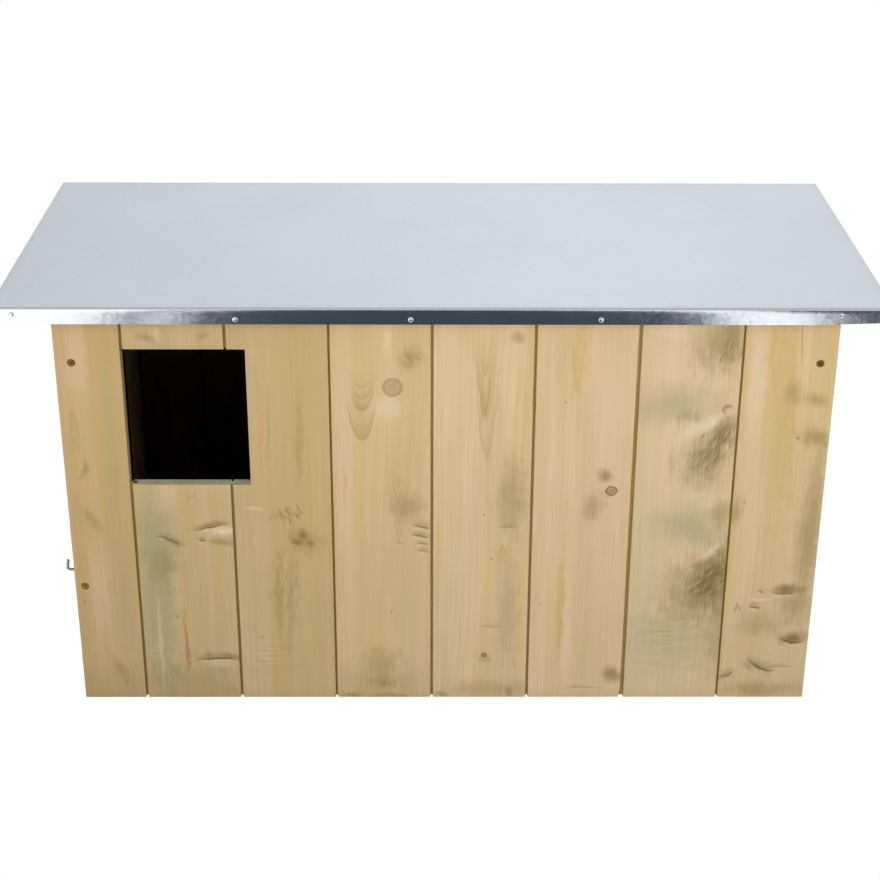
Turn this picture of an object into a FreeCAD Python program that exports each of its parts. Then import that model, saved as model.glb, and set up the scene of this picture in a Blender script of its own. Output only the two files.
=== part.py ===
import FreeCAD, Part
import math
import os
from collections import namedtuple

import Sketcher
from FreeCAD import Placement, Rotation, Vector

# Owl nest box: walls of tongued boards on corner posts and rails, a deck roof under folded steel sheet that
# falls to the front, a square entrance at the left of the front wall and a clean-out door in the left side.
# Millimetres. X runs right along the front, Y from front to back, Z up.
# The origin is the middle of the floor's underside.

SIZES = (
    ("box_width", 836, "outside, along the front"),
    ("box_depth", 360, "outside, front to back"),
    ("front_height", 483, "front face, base to roof deck"),
    ("wall", 15, "thickness of every board"),
    ("board_face", 108, "width of a full board's face"),
    ("first_board", 70.5, "ripped board that starts the front and back"),
    ("tongue_length", 5, ""),
    ("tongue_thick", 5, ""),
    ("tongue_fit", 0.25, "play of a tongue in its groove, each side"),
    ("arris", 1, "chamfer along a board's face edges"),
    ("joint_gap", 1.5, "between board faces, except across the front"),
    ("front_gap_1", 2.5, "front boards as they have dried out"),
    ("front_gap_2", 2.5, ""),
    ("front_gap_3", 2, ""),
    ("front_gap_4", 2.5, ""),
    ("front_gap_5", 2.5, ""),
    ("front_gap_6", 3.5, ""),
    ("front_gap_7", 2, ""),
    ("entrance_stub", 3, "first board's tongue left standing beside the entrance"),
    ("entrance_width", 130, ""),
    ("entrance_height", 159.5, ""),
    ("entrance_drop", 49.5, "roof deck at the front face to the entrance"),
    ("post_wide", 30, "corner post, along the front"),
    ("post_deep", 20, "corner post, front to back"),
    ("rail_high", 30, ""),
    ("rail_deep", 20, ""),
    ("floor_margin", 1.5, "floor to front and back wall"),
    ("fixing_inset", 88, "side of the box to the fixing holes in its back"),
    ("fixing_hole", 9, "diameter"),
    ("roof_pitch", 3, "degrees, falling to the front"),
    ("overhang_front", 45, ""),
    ("overhang_side", 47.5, ""),
    ("roof_setback", 1.5, "back face to the roof, which leaves the back flat"),
    ("roof_shift", 5, "how far left of centre the roof is nailed on"),
    ("sheet_gauge", 0.6, "steel sheet"),
    ("fold_radius", 1.5, "inside of the folds"),
    ("lip_drop", 2.5, "how far the front and side lips hang below the deck"),
    ("nail_head", 5.5, "diameter"),
    ("nail_head_high", 1, ""),
    ("nail_shank", 2.2, "diameter"),
    ("nail_length", 20, ""),
    ("nail_rise", 3.1, "deck's underside to nail"),
    ("nail_rise_end", 8.1, "the same for the end nails"),
    ("nail_1_from_left", 24, "left end of the roof to the first nail in its front lip"),
    ("nail_2_from_left", 252.5, ""),
    ("nail_3_off_middle", 32.5, "middle of the roof to the third nail, on its left"),
    ("nail_4_from_right", 302, "right end of the roof to the fourth nail"),
    ("nail_5_from_right", 55, ""),
    ("nail_side_inset", 60, "ends of the side lips to their nails"),
    ("screw_head", 7.4, "diameter"),
    ("screw_shank", 4, "diameter"),
    ("screw_fit", 0.1, "play of a screw or nail in its hole"),
    ("corner_screw_bite", 11, "depth in the post"),
    ("corner_screw_drop", 65, "roof deck at the front face to the upper corner screws"),
    ("corner_screw_high_inset", 18, "end of the wall to the upper screws"),
    ("corner_screw_low", 147, "base to the lower corner screws"),
    ("corner_screw_low_inset", 11, "end of the wall to the lower screws"),
    ("rail_screw_bite", 10, "depth in the board"),
    ("rail_screw_end", 12, "least distance to a rail's end"),
    ("rail_screw_drop", 9, "top of a low rail to its screws"),
    ("deck_screw_bite", 10, "depth in post or rail"),
    ("deck_screw_inset", 24, "side of the box to the deck screws"),
    ("floor_screw_bite", 10, "depth in post or rail"),
    ("floor_screw_pitch", 200, ""),
    ("floor_screw_pairs", 2, "pairs along the front and back rail"),
    ("door_gap", 3, "door to posts"),
    ("door_foot_gap", 3, "door to floor"),
    ("door_head_gap", 6, "door to roof deck"),
    ("door_stop_gap", 0.5, "closed door to the head rail"),
    ("ledge_low", 110, "base to the middle of the lower ledge"),
    ("ledge_drop", 93, "roof deck at the front face to the middle of the upper ledge"),
    ("ledge_inset", 25, "door's edge to the end of a ledge"),
    ("hinge_low", 100, "base to the middle of the lower hinge"),
    ("hinge_drop", 83, "roof deck at the front face to the middle of the upper hinge"),
    ("leaf_height", 50, ""),
    ("leaf_width", 16, "hinge axis to the leaf's edge"),
    ("leaf_gauge", 1.2, ""),
    ("leaf_clearance", 0.3, "leaf to the other leaf's knuckle"),
    ("knuckle_radius", 2.5, ""),
    ("knuckle_gap", 0.3, "between knuckles"),
    ("pin_radius", 1.3, ""),
    ("pin_fit", 0.05, "play of the pin in its knuckles"),
    ("pin_head_radius", 2.2, ""),
    ("pin_head_high", 1, ""),
    ("hinge_screw_head", 5, "diameter"),
    ("hinge_screw_shank", 2.5, "diameter"),
    ("hinge_screw_bite", 10.8, "depth in the wood"),
    ("hinge_screw_pitch", 30, "between a leaf's two screws"),
    ("hook_wire", 3.3, "diameter"),
    ("hook_setback", 29, "front face to the hook"),
    ("hook_height", 153, "base to the hook's shank"),
    ("hook_reach", 13.7, "side of the box to the middle of the bend"),
    ("hook_leg", 12.7, "shank to the tip of the leg"),
    ("hook_bend", 3.5, "radius to the middle of the wire"),
    ("hook_lean", 10, "degrees that the leg leans in"),
    ("hook_embed", 16, "length inside the post"),
    ("hook_fit", 0.05, "play of the hook in its hole"),
)

PLACES = (
    ("left", "-dims.box_width / 2"),
    ("right", "dims.box_width / 2"),
    ("front", "-dims.box_depth / 2"),
    ("back", "dims.box_depth / 2"),
    ("slope", "tan(dims.roof_pitch)"),
    ("left_inside", "at.left + dims.wall"),
    ("right_inside", "at.right - dims.wall"),
    ("front_inside", "at.front + dims.wall"),
    ("back_inside", "at.back - dims.wall"),
    ("front_post_back", "at.front_inside + dims.post_deep"),
    ("back_post_front", "at.back_inside - dims.post_deep"),
    ("rail_left", "at.left + dims.post_wide"),
    ("rail_right", "at.right - dims.post_wide"),
    ("side_run", "at.back_post_front - at.front_post_back"),
    ("floor_run", "at.back_inside - at.front_inside - 2 * dims.floor_margin"),
    ("front_run", "dims.box_width"),
    ("door_front", "at.front_post_back + dims.door_gap"),
    ("door_back", "at.back_post_front - dims.door_gap"),
    ("door_run", "at.door_back - at.door_front"),
    ("door_foot", "dims.wall + dims.door_foot_gap"),
    ("roof_x", "-dims.roof_shift"),
    ("roof_y", "at.front - dims.overhang_front"),
    ("roof_z", "dims.front_height - dims.overhang_front * at.slope"),
    ("roof_width", "dims.box_width + 2 * dims.overhang_side"),
    ("roof_reach", "dims.box_depth + dims.overhang_front - dims.roof_setback"),
    ("roof_run", "at.roof_reach / cos(dims.roof_pitch)"),
    ("deck_inset", "dims.sheet_gauge + dims.fold_radius"),
    ("deck_length", "at.roof_width - 2 * at.deck_inset"),
    ("deck_run", "at.roof_run - 2 * at.deck_inset"),
    ("tongue_front", "(dims.wall - dims.tongue_thick) / 2"),
    ("tongue_back", "at.tongue_front + dims.tongue_thick"),
    ("narrowest", "2 * (dims.tongue_length + dims.arris)"),
    ("entrance_from_left", "dims.first_board + dims.entrance_stub"),
    ("entrance_top", "dims.front_height - dims.entrance_drop"),
    ("entrance_sill", "at.entrance_top - dims.entrance_height"),
    ("corner_screw_high", "dims.front_height - dims.corner_screw_drop"),
    ("corner_screw_low", "dims.corner_screw_low"),
    ("ledge_low", "dims.ledge_low"),
    ("ledge_high", "dims.front_height - dims.ledge_drop"),
    ("hinge_low", "dims.hinge_low"),
    ("hinge_high", "dims.front_height - dims.hinge_drop"),
    ("lip_height", "dims.wall + dims.sheet_gauge + dims.lip_drop"),
    ("hinge_x", "at.left - dims.knuckle_radius"),
    ("hinge_y", "at.back_post_front - dims.door_gap / 2"),
    ("leaf_start", "dims.knuckle_radius + dims.leaf_clearance"),
    ("knuckle", "dims.leaf_height / 3"),
)

doc = FreeCAD.newDocument("owl_nest_box")
dims = doc.addObject("Spreadsheet::Sheet", "dims")
for row, (alias, value, note) in enumerate(SIZES, 1):
    dims.set("A%d" % row, alias)
    dims.set("B%d" % row, str(value))
    dims.setAlias("B%d" % row, alias)
    dims.set("C%d" % row, note)
doc.recompute()

at = doc.addObject("App::VarSet", "at")
for name, formula in PLACES:
    at.addProperty("App::PropertyFloat", name)
for name, formula in PLACES:
    at.setExpression(name, formula)
doc.recompute()

blanks = {}
groups = {}
drills = []

Run = namedtuple("Run", "formula width_formula start width")


def size(alias):
    """Number in the sheet under this alias."""
    return float(dims.get(alias))


def under_roof(y_formula):
    """Formula for the height of the deck's underside above the base."""
    return "(dims.front_height + (%s - at.front) * at.slope)" % y_formula


def under_roof_at(y):
    """The same height as a number."""
    return size("front_height") + (y - at.front) * at.slope


def bind(thing, formulas):
    """Tie properties of an object to the sheet."""
    for path, formula in formulas.items():
        thing.setExpression(path, formula)


def bind_base(thing, base):
    """Tie an object's base point to three formulas."""
    for axis, formula in zip("xyz", base):
        thing.setExpression("Placement.Base." + axis, formula)


def block(name, low, lengths):
    """Square-cut block from its low corner and its three lengths."""
    box = doc.addObject("Part::Box", name)
    bind(box, dict(zip(("Length", "Width", "Height"), lengths)))
    bind_base(box, low)
    return box


def rod(name, low, radius, height):
    """Upright cylinder from the middle of its foot."""
    cylinder = doc.addObject("Part::Cylinder", name)
    bind(cylinder, {"Radius": radius, "Height": height})
    bind_base(cylinder, low)
    return cylinder


def join(name, shapes):
    """One solid from several."""
    union = doc.addObject("Part::MultiFuse", name)
    union.Shapes = shapes
    return union


def cut(name, base, tool):
    """Base without tool."""
    rest = doc.addObject("Part::Cut", name)
    rest.Base = base
    rest.Tool = tool
    return rest


def pair(name, links):
    """Two like pieces kept as one group."""
    both = doc.addObject("Part::Compound", name)
    both.Links = links
    return both


def origin_plane(body, role):
    """Origin plane of a body by its role."""
    for feature in body.Origin.OriginFeatures:
        if feature.Role == role:
            return feature
    raise ValueError(role)


def sketch_on(body, role, name):
    """Empty sketch on one of the body's own origin planes."""
    sketch = body.newObject("Sketcher::SketchObject", name)
    sketch.AttachmentSupport = [(origin_plane(body, role), "")]
    sketch.MapMode = "FlatFace"
    return sketch


def outline(sketch, corners):
    """Closed outline of straight lines, each corner tied to a pair of formulas."""
    step = size("wall")
    start = [Vector(step * (1 + turn // 2), step * (1 + turn % 3), 0) for turn in range(len(corners))]
    for here, point in enumerate(start):
        after = start[(here + 1) % len(start)]
        sketch.addGeometry(Part.LineSegment(point, after))
    for here in range(len(start)):
        sketch.addConstraint(Sketcher.Constraint("Coincident", here, 2, (here + 1) % len(start), 1))
    for here, corner in enumerate(corners):
        for kind, axis, formula, guess in (
            ("DistanceX", -2, corner[0], start[here].x),
            ("DistanceY", -1, corner[1], start[here].y),
        ):
            if formula == "0":
                sketch.addConstraint(Sketcher.Constraint("PointOnObject", here, 1, axis))
                continue
            tie = sketch.addConstraint(Sketcher.Constraint(kind, -1, 1, here, 1, guess))
            sketch.setExpression("Constraints[%d]" % tie, formula)


def padded(name, role, corners, length, base, turn=(Vector(0, 0, 1), 0)):
    """Body made by drawing an outline out along the normal of one of its origin planes."""
    body = doc.addObject("PartDesign::Body", name)
    sketch = sketch_on(body, role, name + "_profile")
    outline(sketch, corners)
    pad = body.newObject("PartDesign::Pad", name + "_length")
    pad.Profile = sketch
    pad.setExpression("Length", length)
    body.Placement = Placement(Vector(), Rotation(*turn))
    bind_base(body, base)
    return body


def board_corners(width, grooved, tongued):
    """Moulded section of a board: face along X at Y 0, groove at the start, tongue at the end."""
    far = "(%s)" % width
    corners = [("dims.arris", "0"), (far + " - dims.arris", "0"), (far, "dims.arris")]
    if tongued:
        tip = far + " + dims.tongue_length"
        corners += [(far, "at.tongue_front"), (tip, "at.tongue_front")]
        corners += [(tip, "at.tongue_back"), (far, "at.tongue_back")]
    corners += [(far, "dims.wall"), ("0", "dims.wall")]
    if grooved:
        low = "at.tongue_front - dims.tongue_fit"
        high = "at.tongue_back + dims.tongue_fit"
        corners += [("0", high), ("dims.tongue_length", high), ("dims.tongue_length", low), ("0", low)]
    return corners + [("0", "dims.arris")]


def board_runs(across, first="board_face", gaps=()):
    """Boards laid side by side across a place: the first as named, then full ones, the end ripped to fit."""
    total = getattr(at, across)
    runs = []
    formula = "0"
    start = 0.0
    width = first
    while True:
        gap = gaps[len(runs)] if len(runs) < len(gaps) else "joint_gap"
        rest = round(total - start, 6)
        rest_formula = "at.%s - (%s)" % (across, formula)
        if rest <= size(width):
            runs.append(Run(formula, rest_formula, start, rest))
            return runs
        cover, cover_formula = size(width), "dims." + width
        if rest <= size(width) + size(gap) + at.narrowest:
            cover, cover_formula = (rest - size(gap)) / 2, "(%s - dims.%s) / 2" % (rest_formula, gap)
        runs.append(Run(formula, cover_formula, start, cover))
        formula += " + %s + dims.%s" % (cover_formula, gap)
        start += cover + size(gap)
        width = "board_face"


def board(name, role, runs, number, length, base, turn=(Vector(0, 0, 1), 0)):
    """One board of a row: no groove on the first, no tongue on the last."""
    run = runs[number]
    corners = board_corners(run.width_formula, number > 0, number < len(runs) - 1)
    return padded(name, role, corners, length, base, turn)


def board_name(row, runs, number):
    """Boards are numbered along their row, and the one that closes it is its end."""
    return "%s_board_%s" % (row, "end" if number == len(runs) - 1 else number + 1)


def roof_space(name, drop):
    """Everything above the deck's underside, or above a plane that lies lower by drop."""
    half = "at.roof_width / 2"
    space = block(
        name,
        ("at.roof_x - " + half, "at.roof_y", "at.roof_z - " + drop),
        ("at.roof_width", "at.roof_run + dims.wall", "dims.front_height"),
    )
    space.Placement.Rotation = Rotation(Vector(1, 0, 0), size("roof_pitch"))
    space.setExpression("Placement.Rotation.Angle", "dims.roof_pitch")
    return space


def to_roof(name, blank, space):
    """Blank cut off at the slope of the roof."""
    blanks[name] = cut(name + "_trimmed", blank, space)


def middle(run):
    """Middle of a board, counted from where its row starts."""
    return run.start + run.width / 2


above_deck = roof_space("above_deck", "0")
above_door = roof_space("above_door", "dims.door_head_gap")
quarter = (Vector(0, 0, 1), 90)
quarter_back = (Vector(0, 0, 1), -90)
half_turn = (Vector(0, 0, 1), 180)

front_gaps = [alias for alias, value, note in SIZES if alias.startswith("front_gap_")]
front_runs = board_runs("front_run", "first_board", front_gaps)
back_runs = board_runs("front_run", "first_board")
side_runs = board_runs("side_run")
door_runs = board_runs("door_run")
floor_runs = board_runs("floor_run")
deck_runs = board_runs("deck_run")


def front_wall():
    """Boards of the front, those across the entrance cut in two, those beside it notched."""
    entrance = block(
        "entrance",
        ("at.left + at.entrance_from_left", "at.front - dims.wall", "at.entrance_sill"),
        ("dims.entrance_width", "3 * dims.wall", "dims.entrance_height"),
    )
    hole_start = at.entrance_from_left
    hole_end = hole_start + size("entrance_width")
    top = under_roof("at.front_inside")
    for number, run in enumerate(front_runs):
        name = board_name("front", front_runs, number)
        x = "at.left + " + run.formula
        starts_in = run.start >= hole_start - size("tongue_length")
        if starts_in and run.start + run.width <= hole_end:
            lower = board(name + "_lower", "XY_Plane", front_runs, number, "at.entrance_sill",
                          (x, "at.front", "0"))
            blanks[name + "_lower_piece"] = lower
            upper = board(name + "_upper", "XY_Plane", front_runs, number, top + " - at.entrance_top",
                          (x, "at.front", "at.entrance_top"))
            to_roof(name + "_upper_piece", upper, above_deck)
            continue
        blank = board(name + "_blank", "XY_Plane", front_runs, number, top, (x, "at.front", "0"))
        reach = run.start + run.width + size("tongue_length")
        if run.start < hole_end and reach > hole_start:
            blank = cut(name + "_notched", blank, entrance)
        to_roof(name, blank, above_deck)


def back_wall():
    """Boards of the back, laid from the right."""
    length = under_roof("at.back")
    for number, run in enumerate(back_runs):
        name = board_name("back", back_runs, number)
        base = ("at.right - (%s)" % run.formula, "at.back", "0")
        blank = board(name + "_blank", "XY_Plane", back_runs, number, length, base, half_turn)
        to_roof(name, blank, above_deck)


def right_side():
    """Boards of the fixed side, standing on the floor between the posts."""
    length = under_roof("at.back") + " - dims.wall"
    for number, run in enumerate(side_runs):
        name = board_name("right", side_runs, number)
        base = ("at.right", "at.front_post_back + " + run.formula, "dims.wall")
        blank = board(name + "_blank", "XY_Plane", side_runs, number, length, base, quarter)
        to_roof(name, blank, above_deck)


def door():
    """Boards and ledges of the clean-out door, laid from its hinged edge."""
    length = under_roof("at.back") + " - at.door_foot"
    for number, run in enumerate(door_runs):
        name = board_name("door", door_runs, number)
        base = ("at.left", "at.door_back - (%s)" % run.formula, "at.door_foot")
        blank = board(name + "_blank", "XY_Plane", door_runs, number, length, base, quarter_back)
        to_roof(name, blank, above_door)
    for level in ("low", "high"):
        foot = "at.ledge_%s - dims.rail_high / 2" % level
        blanks["door_ledge_" + level] = block(
            "door_ledge_%s_blank" % level,
            ("at.left_inside", "at.door_front + dims.ledge_inset", foot),
            ("dims.rail_deep", "at.door_run - 2 * dims.ledge_inset", "dims.rail_high"),
        )


def floor():
    """Floor boards from side to side, under the posts and side boards."""
    for number, run in enumerate(floor_runs):
        name = board_name("floor", floor_runs, number)
        base = ("at.left", "at.front_inside + dims.floor_margin + " + run.formula, "0")
        blanks[name] = board(name + "_blank", "YZ_Plane", floor_runs, number, "dims.box_width", base)


def posts():
    """Four corner posts on the floor."""
    for side, x in (("left", "at.left"), ("right", "at.rail_right")):
        for end, y in (("front", "at.front_inside"), ("back", "at.back_post_front")):
            name = "post_%s_%s" % (end, side)
            height = under_roof(y + " + dims.post_deep") + " - dims.wall"
            blank = block(name + "_blank", (x, y, "dims.wall"), ("dims.post_wide", "dims.post_deep", height))
            to_roof(name, blank, above_deck)


def rails():
    """Rails behind the boards, between the posts."""
    run = "at.rail_right - at.rail_left"
    for end, y in (("front", "at.front_inside"), ("back", "at.back_inside - dims.rail_deep")):
        blanks["rail_%s_low" % end] = block(
            "rail_%s_low_blank" % end,
            ("at.rail_left", y, "dims.wall"),
            (run, "dims.rail_deep", "dims.rail_high"),
        )
        high = block(
            "rail_%s_high_blank" % end,
            ("at.rail_left", y, under_roof(y) + " - dims.rail_high"),
            (run, "dims.rail_deep", "dims.rail_high + dims.rail_deep * at.slope"),
        )
        to_roof("rail_%s_high" % end, high, above_deck)
    blanks["rail_right_low"] = block(
        "rail_right_low_blank",
        ("at.right_inside - dims.rail_deep", "at.front_post_back", "dims.wall"),
        ("dims.rail_deep", "at.side_run", "dims.rail_high"),
    )
    rise = "at.side_run * at.slope"
    far = "at.side_run"
    corners = [("0", "0"), (far, rise), (far, rise + " + dims.rail_high"), ("0", "dims.rail_high")]
    foot = under_roof("at.front_post_back") + " - dims.rail_high"
    for name, x in (
        ("rail_right_high", "at.right_inside - dims.rail_deep"),
        ("door_head_rail", "at.left_inside + dims.door_stop_gap"),
    ):
        base = (x, "at.front_post_back", foot)
        blanks[name] = padded(name + "_blank", "YZ_Plane", corners, "dims.rail_deep", base)


def roof_deck():
    """Deck boards from side to side, laid from the front edge up the slope."""
    pitched = (Vector(1, 0, 0), size("roof_pitch"))
    for number, run in enumerate(deck_runs):
        name = board_name("deck", deck_runs, number)
        along = "(at.deck_inset + %s)" % run.formula
        base = (
            "at.roof_x - at.deck_length / 2",
            "at.roof_y + %s * cos(dims.roof_pitch)" % along,
            "at.roof_z + %s * sin(dims.roof_pitch)" % along,
        )
        body = board(name + "_blank", "YZ_Plane", deck_runs, number, "at.deck_length", base, pitched)
        body.setExpression("Placement.Rotation.Angle", "dims.roof_pitch")
        blanks[name] = body


def roof_point(along, below):
    """Left end of the roof at a distance up its slope and a depth below the deck's underside."""
    return (
        "at.roof_x - at.roof_width / 2",
        "at.roof_y + %s * cos(dims.roof_pitch) + %s * sin(dims.roof_pitch)" % (along, below),
        "at.roof_z + %s * sin(dims.roof_pitch) - %s * cos(dims.roof_pitch)" % (along, below),
    )


def roof_sheet():
    """Steel sheet over the deck, folded down on all four sides, the back lip stopping at the back wall."""
    body = doc.addObject("PartDesign::Body", "roof_sheet_blank")
    sketch = sketch_on(body, "XY_Plane", "roof_sheet_outline")
    width, run = "at.roof_width", "at.roof_run"
    outline(sketch, [("0", "0"), (width, "0"), (width, run), ("0", run)])
    pad = body.newObject("PartDesign::Pad", "roof_sheet_height")
    pad.Profile = sketch
    pad.setExpression("Length", "at.lip_height")
    doc.recompute()
    top = pad.Shape.BoundBox.ZMax
    folds = ["Edge%d" % n for n, edge in enumerate(pad.Shape.Edges, 1) if edge.BoundBox.ZMax > top / 2]
    fold = body.newObject("PartDesign::Fillet", "roof_sheet_folds")
    fold.Base = (pad, folds)
    fold.setExpression("Radius", "at.deck_inset")
    doc.recompute()
    under = ["Face%d" % n for n, face in enumerate(fold.Shape.Faces, 1) if face.BoundBox.ZMax < top / 2]
    shell = body.newObject("PartDesign::Thickness", "roof_sheet_gauge")
    shell.Base = (fold, under)
    shell.setExpression("Value", "dims.sheet_gauge")
    shell.Reversed = True
    body.Placement = Placement(Vector(), Rotation(Vector(1, 0, 0), size("roof_pitch")))
    bind_base(body, roof_point("0", "dims.lip_drop"))
    body.setExpression("Placement.Rotation.Angle", "dims.roof_pitch")
    trim = block(
        "roof_sheet_rear",
        roof_point("(at.roof_run - 2 * at.deck_inset)", "at.lip_height"),
        ("at.roof_width", "4 * at.deck_inset", "at.lip_height"),
    )
    trim.Placement.Rotation = Rotation(Vector(1, 0, 0), size("roof_pitch"))
    trim.setExpression("Placement.Rotation.Angle", "dims.roof_pitch")
    blanks["roof_sheet"] = cut("roof_sheet_trimmed", body, trim)


def leaf(name, foot, outward, knuckles):
    """Hinge leaf with its knuckles: outward is + for the post's leaf and - for the door's."""
    x = "at.left - dims.leaf_gauge"
    if outward == "+":
        plate_y, tab_y = "at.hinge_y + at.leaf_start", "at.hinge_y"
    else:
        plate_y, tab_y = "at.hinge_y - dims.leaf_width", "at.hinge_y - at.leaf_start"
    plate = ("dims.leaf_gauge", "dims.leaf_width - at.leaf_start", "dims.leaf_height")
    shapes = [block(name + "_plate", (x, plate_y, foot), plate)]
    for number, (start, height) in enumerate(knuckles):
        z = "%s + %s" % (foot, start)
        tab = "%s_tab_%d" % (name, number)
        shapes.append(block(tab, (x, tab_y, z), ("dims.leaf_gauge", "at.leaf_start", height)))
        shapes.append(rod("%s_knuckle_%d" % (name, number), ("at.hinge_x", "at.hinge_y", z),
                          "dims.knuckle_radius", height))
    bore = rod(name + "_bore", ("at.hinge_x", "at.hinge_y", foot), "dims.pin_radius + dims.pin_fit",
               "dims.leaf_height")
    return cut(name, join(name + "_solid", shapes), bore)


def hinge_pin(name, foot):
    """Pin with a head at each end."""
    x, y = "at.hinge_x", "at.hinge_y"
    head = ("dims.pin_head_radius", "dims.pin_head_high")
    return join(name, [
        rod(name + "_shaft", (x, y, foot), "dims.pin_radius", "dims.leaf_height"),
        rod(name + "_top", (x, y, foot + " + dims.leaf_height"), *head),
        rod(name + "_foot", (x, y, foot + " - dims.pin_head_high"), *head),
    ])


def hinges():
    """Two butt hinges on the outside of the rear left post and the door."""
    outer = "at.knuckle - dims.knuckle_gap / 2"
    upper = "2 * at.knuckle + dims.knuckle_gap / 2"
    between = "at.knuckle + dims.knuckle_gap / 2"
    inner = "at.knuckle - dims.knuckle_gap"
    post_leaves, door_leaves, pins = [], [], []
    for level in ("low", "high"):
        foot = "(at.hinge_%s - dims.leaf_height / 2)" % level
        post_leaves.append(leaf("post_leaf_" + level, foot, "+", [("0", outer), (upper, outer)]))
        door_leaves.append(leaf("door_leaf_" + level, foot, "-", [(between, inner)]))
        pins.append(hinge_pin("hinge_pin_" + level, foot))
    blanks["hinge_leaves_post"] = pair("hinge_leaves_post_blank", post_leaves)
    blanks["hinge_leaves_door"] = pair("hinge_leaves_door_blank", door_leaves)
    blanks["hinge_pins"] = pair("hinge_pins_pair", pins)


def turn_hook():
    """L hook screwed into the front left post, its leg upright at rest."""
    body = doc.addObject("PartDesign::Body", "turn_hook_body")
    spine = sketch_on(body, "XZ_Plane", "turn_hook_line")
    bend = size("hook_bend")
    straight = size("hook_embed") + size("hook_reach") - bend
    rise = math.radians(90 - size("hook_lean"))
    corner = Vector(bend - size("hook_reach"), 0, 0)
    centre = Vector(corner.x, bend, 0)
    spine.addGeometry(Part.LineSegment(Vector(size("hook_embed"), 0, 0), corner))
    circle = Part.Circle(centre, Vector(0, 0, 1), bend)
    spine.addGeometry(Part.ArcOfCircle(circle, rise + math.pi / 2, 3 * math.pi / 2))
    spine.addGeometry(Part.LineSegment(centre - Vector(bend, 0, 0), Vector(centre.x, size("hook_leg"), 0)))
    shank, turn, leg = 0, 1, 2
    spine.addConstraint(Sketcher.Constraint("PointOnObject", shank, 1, -1))
    spine.addConstraint(Sketcher.Constraint("Horizontal", shank))
    spine.addConstraint(Sketcher.Constraint("Tangent", shank, 2, turn, 2))
    spine.addConstraint(Sketcher.Constraint("Tangent", leg, 1, turn, 1))
    for kind, where, formula, guess in (
        ("DistanceX", (-1, 1, shank, 1), "dims.hook_embed", size("hook_embed")),
        ("DistanceX", (shank, 2, shank, 1), "dims.hook_embed + dims.hook_reach - dims.hook_bend", straight),
        ("Radius", (turn,), "dims.hook_bend", bend),
        ("DistanceY", (-1, 1, leg, 2), "dims.hook_leg", size("hook_leg")),
        ("Angle", (leg,), "(90 - dims.hook_lean) * 1 deg", rise),
    ):
        tie = spine.addConstraint(Sketcher.Constraint(kind, *where, guess))
        spine.setExpression("Constraints[%d]" % tie, formula)
    section = sketch_on(body, "YZ_Plane", "turn_hook_section")
    section.setExpression("AttachmentOffset.Base.z", "dims.hook_embed")
    section.addGeometry(Part.Circle(Vector(), Vector(0, 0, 1), size("hook_wire") / 2))
    section.addConstraint(Sketcher.Constraint("Coincident", 0, 3, -1, 1))
    tie = section.addConstraint(Sketcher.Constraint("Radius", 0, size("hook_wire") / 2))
    section.setExpression("Constraints[%d]" % tie, "dims.hook_wire / 2")
    doc.recompute()
    wire = body.newObject("PartDesign::AdditivePipe", "turn_hook_wire")
    wire.Profile = section
    wire.Spine = (spine, ["Edge1", "Edge2", "Edge3"])
    bind_base(body, ("at.left", "at.front + dims.hook_setback", "dims.hook_height"))
    blanks["turn_hook"] = body


def screw(point, direction, length, head, shank, play):
    """Countersunk screw, or with play the hole for it."""
    sink = (head - shank) / 2
    cone = Part.makeCone(head / 2 + play, shank / 2 + play, sink, point, direction)
    stem = Part.makeCylinder(shank / 2 + play, length + play, point, direction)
    return cone.fuse(stem).removeSplitter()


def nail(point, direction):
    """Flat-headed nail whose head lies on the surface at point."""
    high = size("nail_head_high")
    head = Part.makeCylinder(size("nail_head") / 2, high, point - direction * high, direction)
    stem = Part.makeCylinder(size("nail_shank") / 2, size("nail_length"), point, direction)
    return head.fuse(stem).removeSplitter()


def group(name, solids):
    """Like fasteners as one group of separate solids."""
    feature = doc.addObject("Part::Feature", name)
    feature.Shape = Part.makeCompound(solids)
    groups[name] = feature


def wood_screws(name, places, length, kind="screw"):
    """Countersunk screws at (point, direction) places, and the holes that they need."""
    head = size(kind + "_head")
    shank = size(kind + "_shank")
    group(name, [screw(point, way, length, head, shank, 0.0) for point, way in places])
    drills.extend(screw(point, way, length, head, shank, size("screw_fit")) for point, way in places)


def corner_screws():
    """Screws through the ends of the front and back wall into the posts, none low down at the front right."""
    places = []
    for y, way in ((at.front, Vector(0, 1, 0)), (at.back, Vector(0, -1, 0))):
        for level in ("high", "low"):
            inset = size("corner_screw_%s_inset" % level)
            z = getattr(at, "corner_screw_" + level)
            places.append((Vector(at.left + inset, y, z), way))
            if y > 0 or level == "high":
                places.append((Vector(at.right - inset, y, z), way))
    wood_screws("corner_screws", places, size("wall") + size("corner_screw_bite"))


def rail_screws():
    """Screws from inside through the rails, one into each board."""
    places = []
    low = size("wall") + size("rail_high") - size("rail_screw_drop")
    least = at.rail_left + size("rail_screw_end")
    most = at.rail_right - size("rail_screw_end")
    front_face = at.front_inside + size("rail_deep")
    back_face = at.back_inside - size("rail_deep")
    for runs, face, side, way in (
        (front_runs, front_face, at.front_inside, Vector(0, -1, 0)),
        (back_runs, back_face, back_face, Vector(0, 1, 0)),
    ):
        high = under_roof_at(side) - size("rail_high") / 2
        for run in runs:
            x = min(max(way.y * -1 * (at.left + middle(run)), least), most)
            places.append((Vector(x, face, low), way))
            places.append((Vector(x, face, high), way))
    for run in side_runs:
        y = at.front_post_back + middle(run)
        for z in (low, under_roof_at(y) - size("rail_high") / 2):
            places.append((Vector(at.right_inside - size("rail_deep"), y, z), Vector(1, 0, 0)))
    wood_screws("rail_screws", places, size("rail_deep") + size("rail_screw_bite"))


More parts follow.
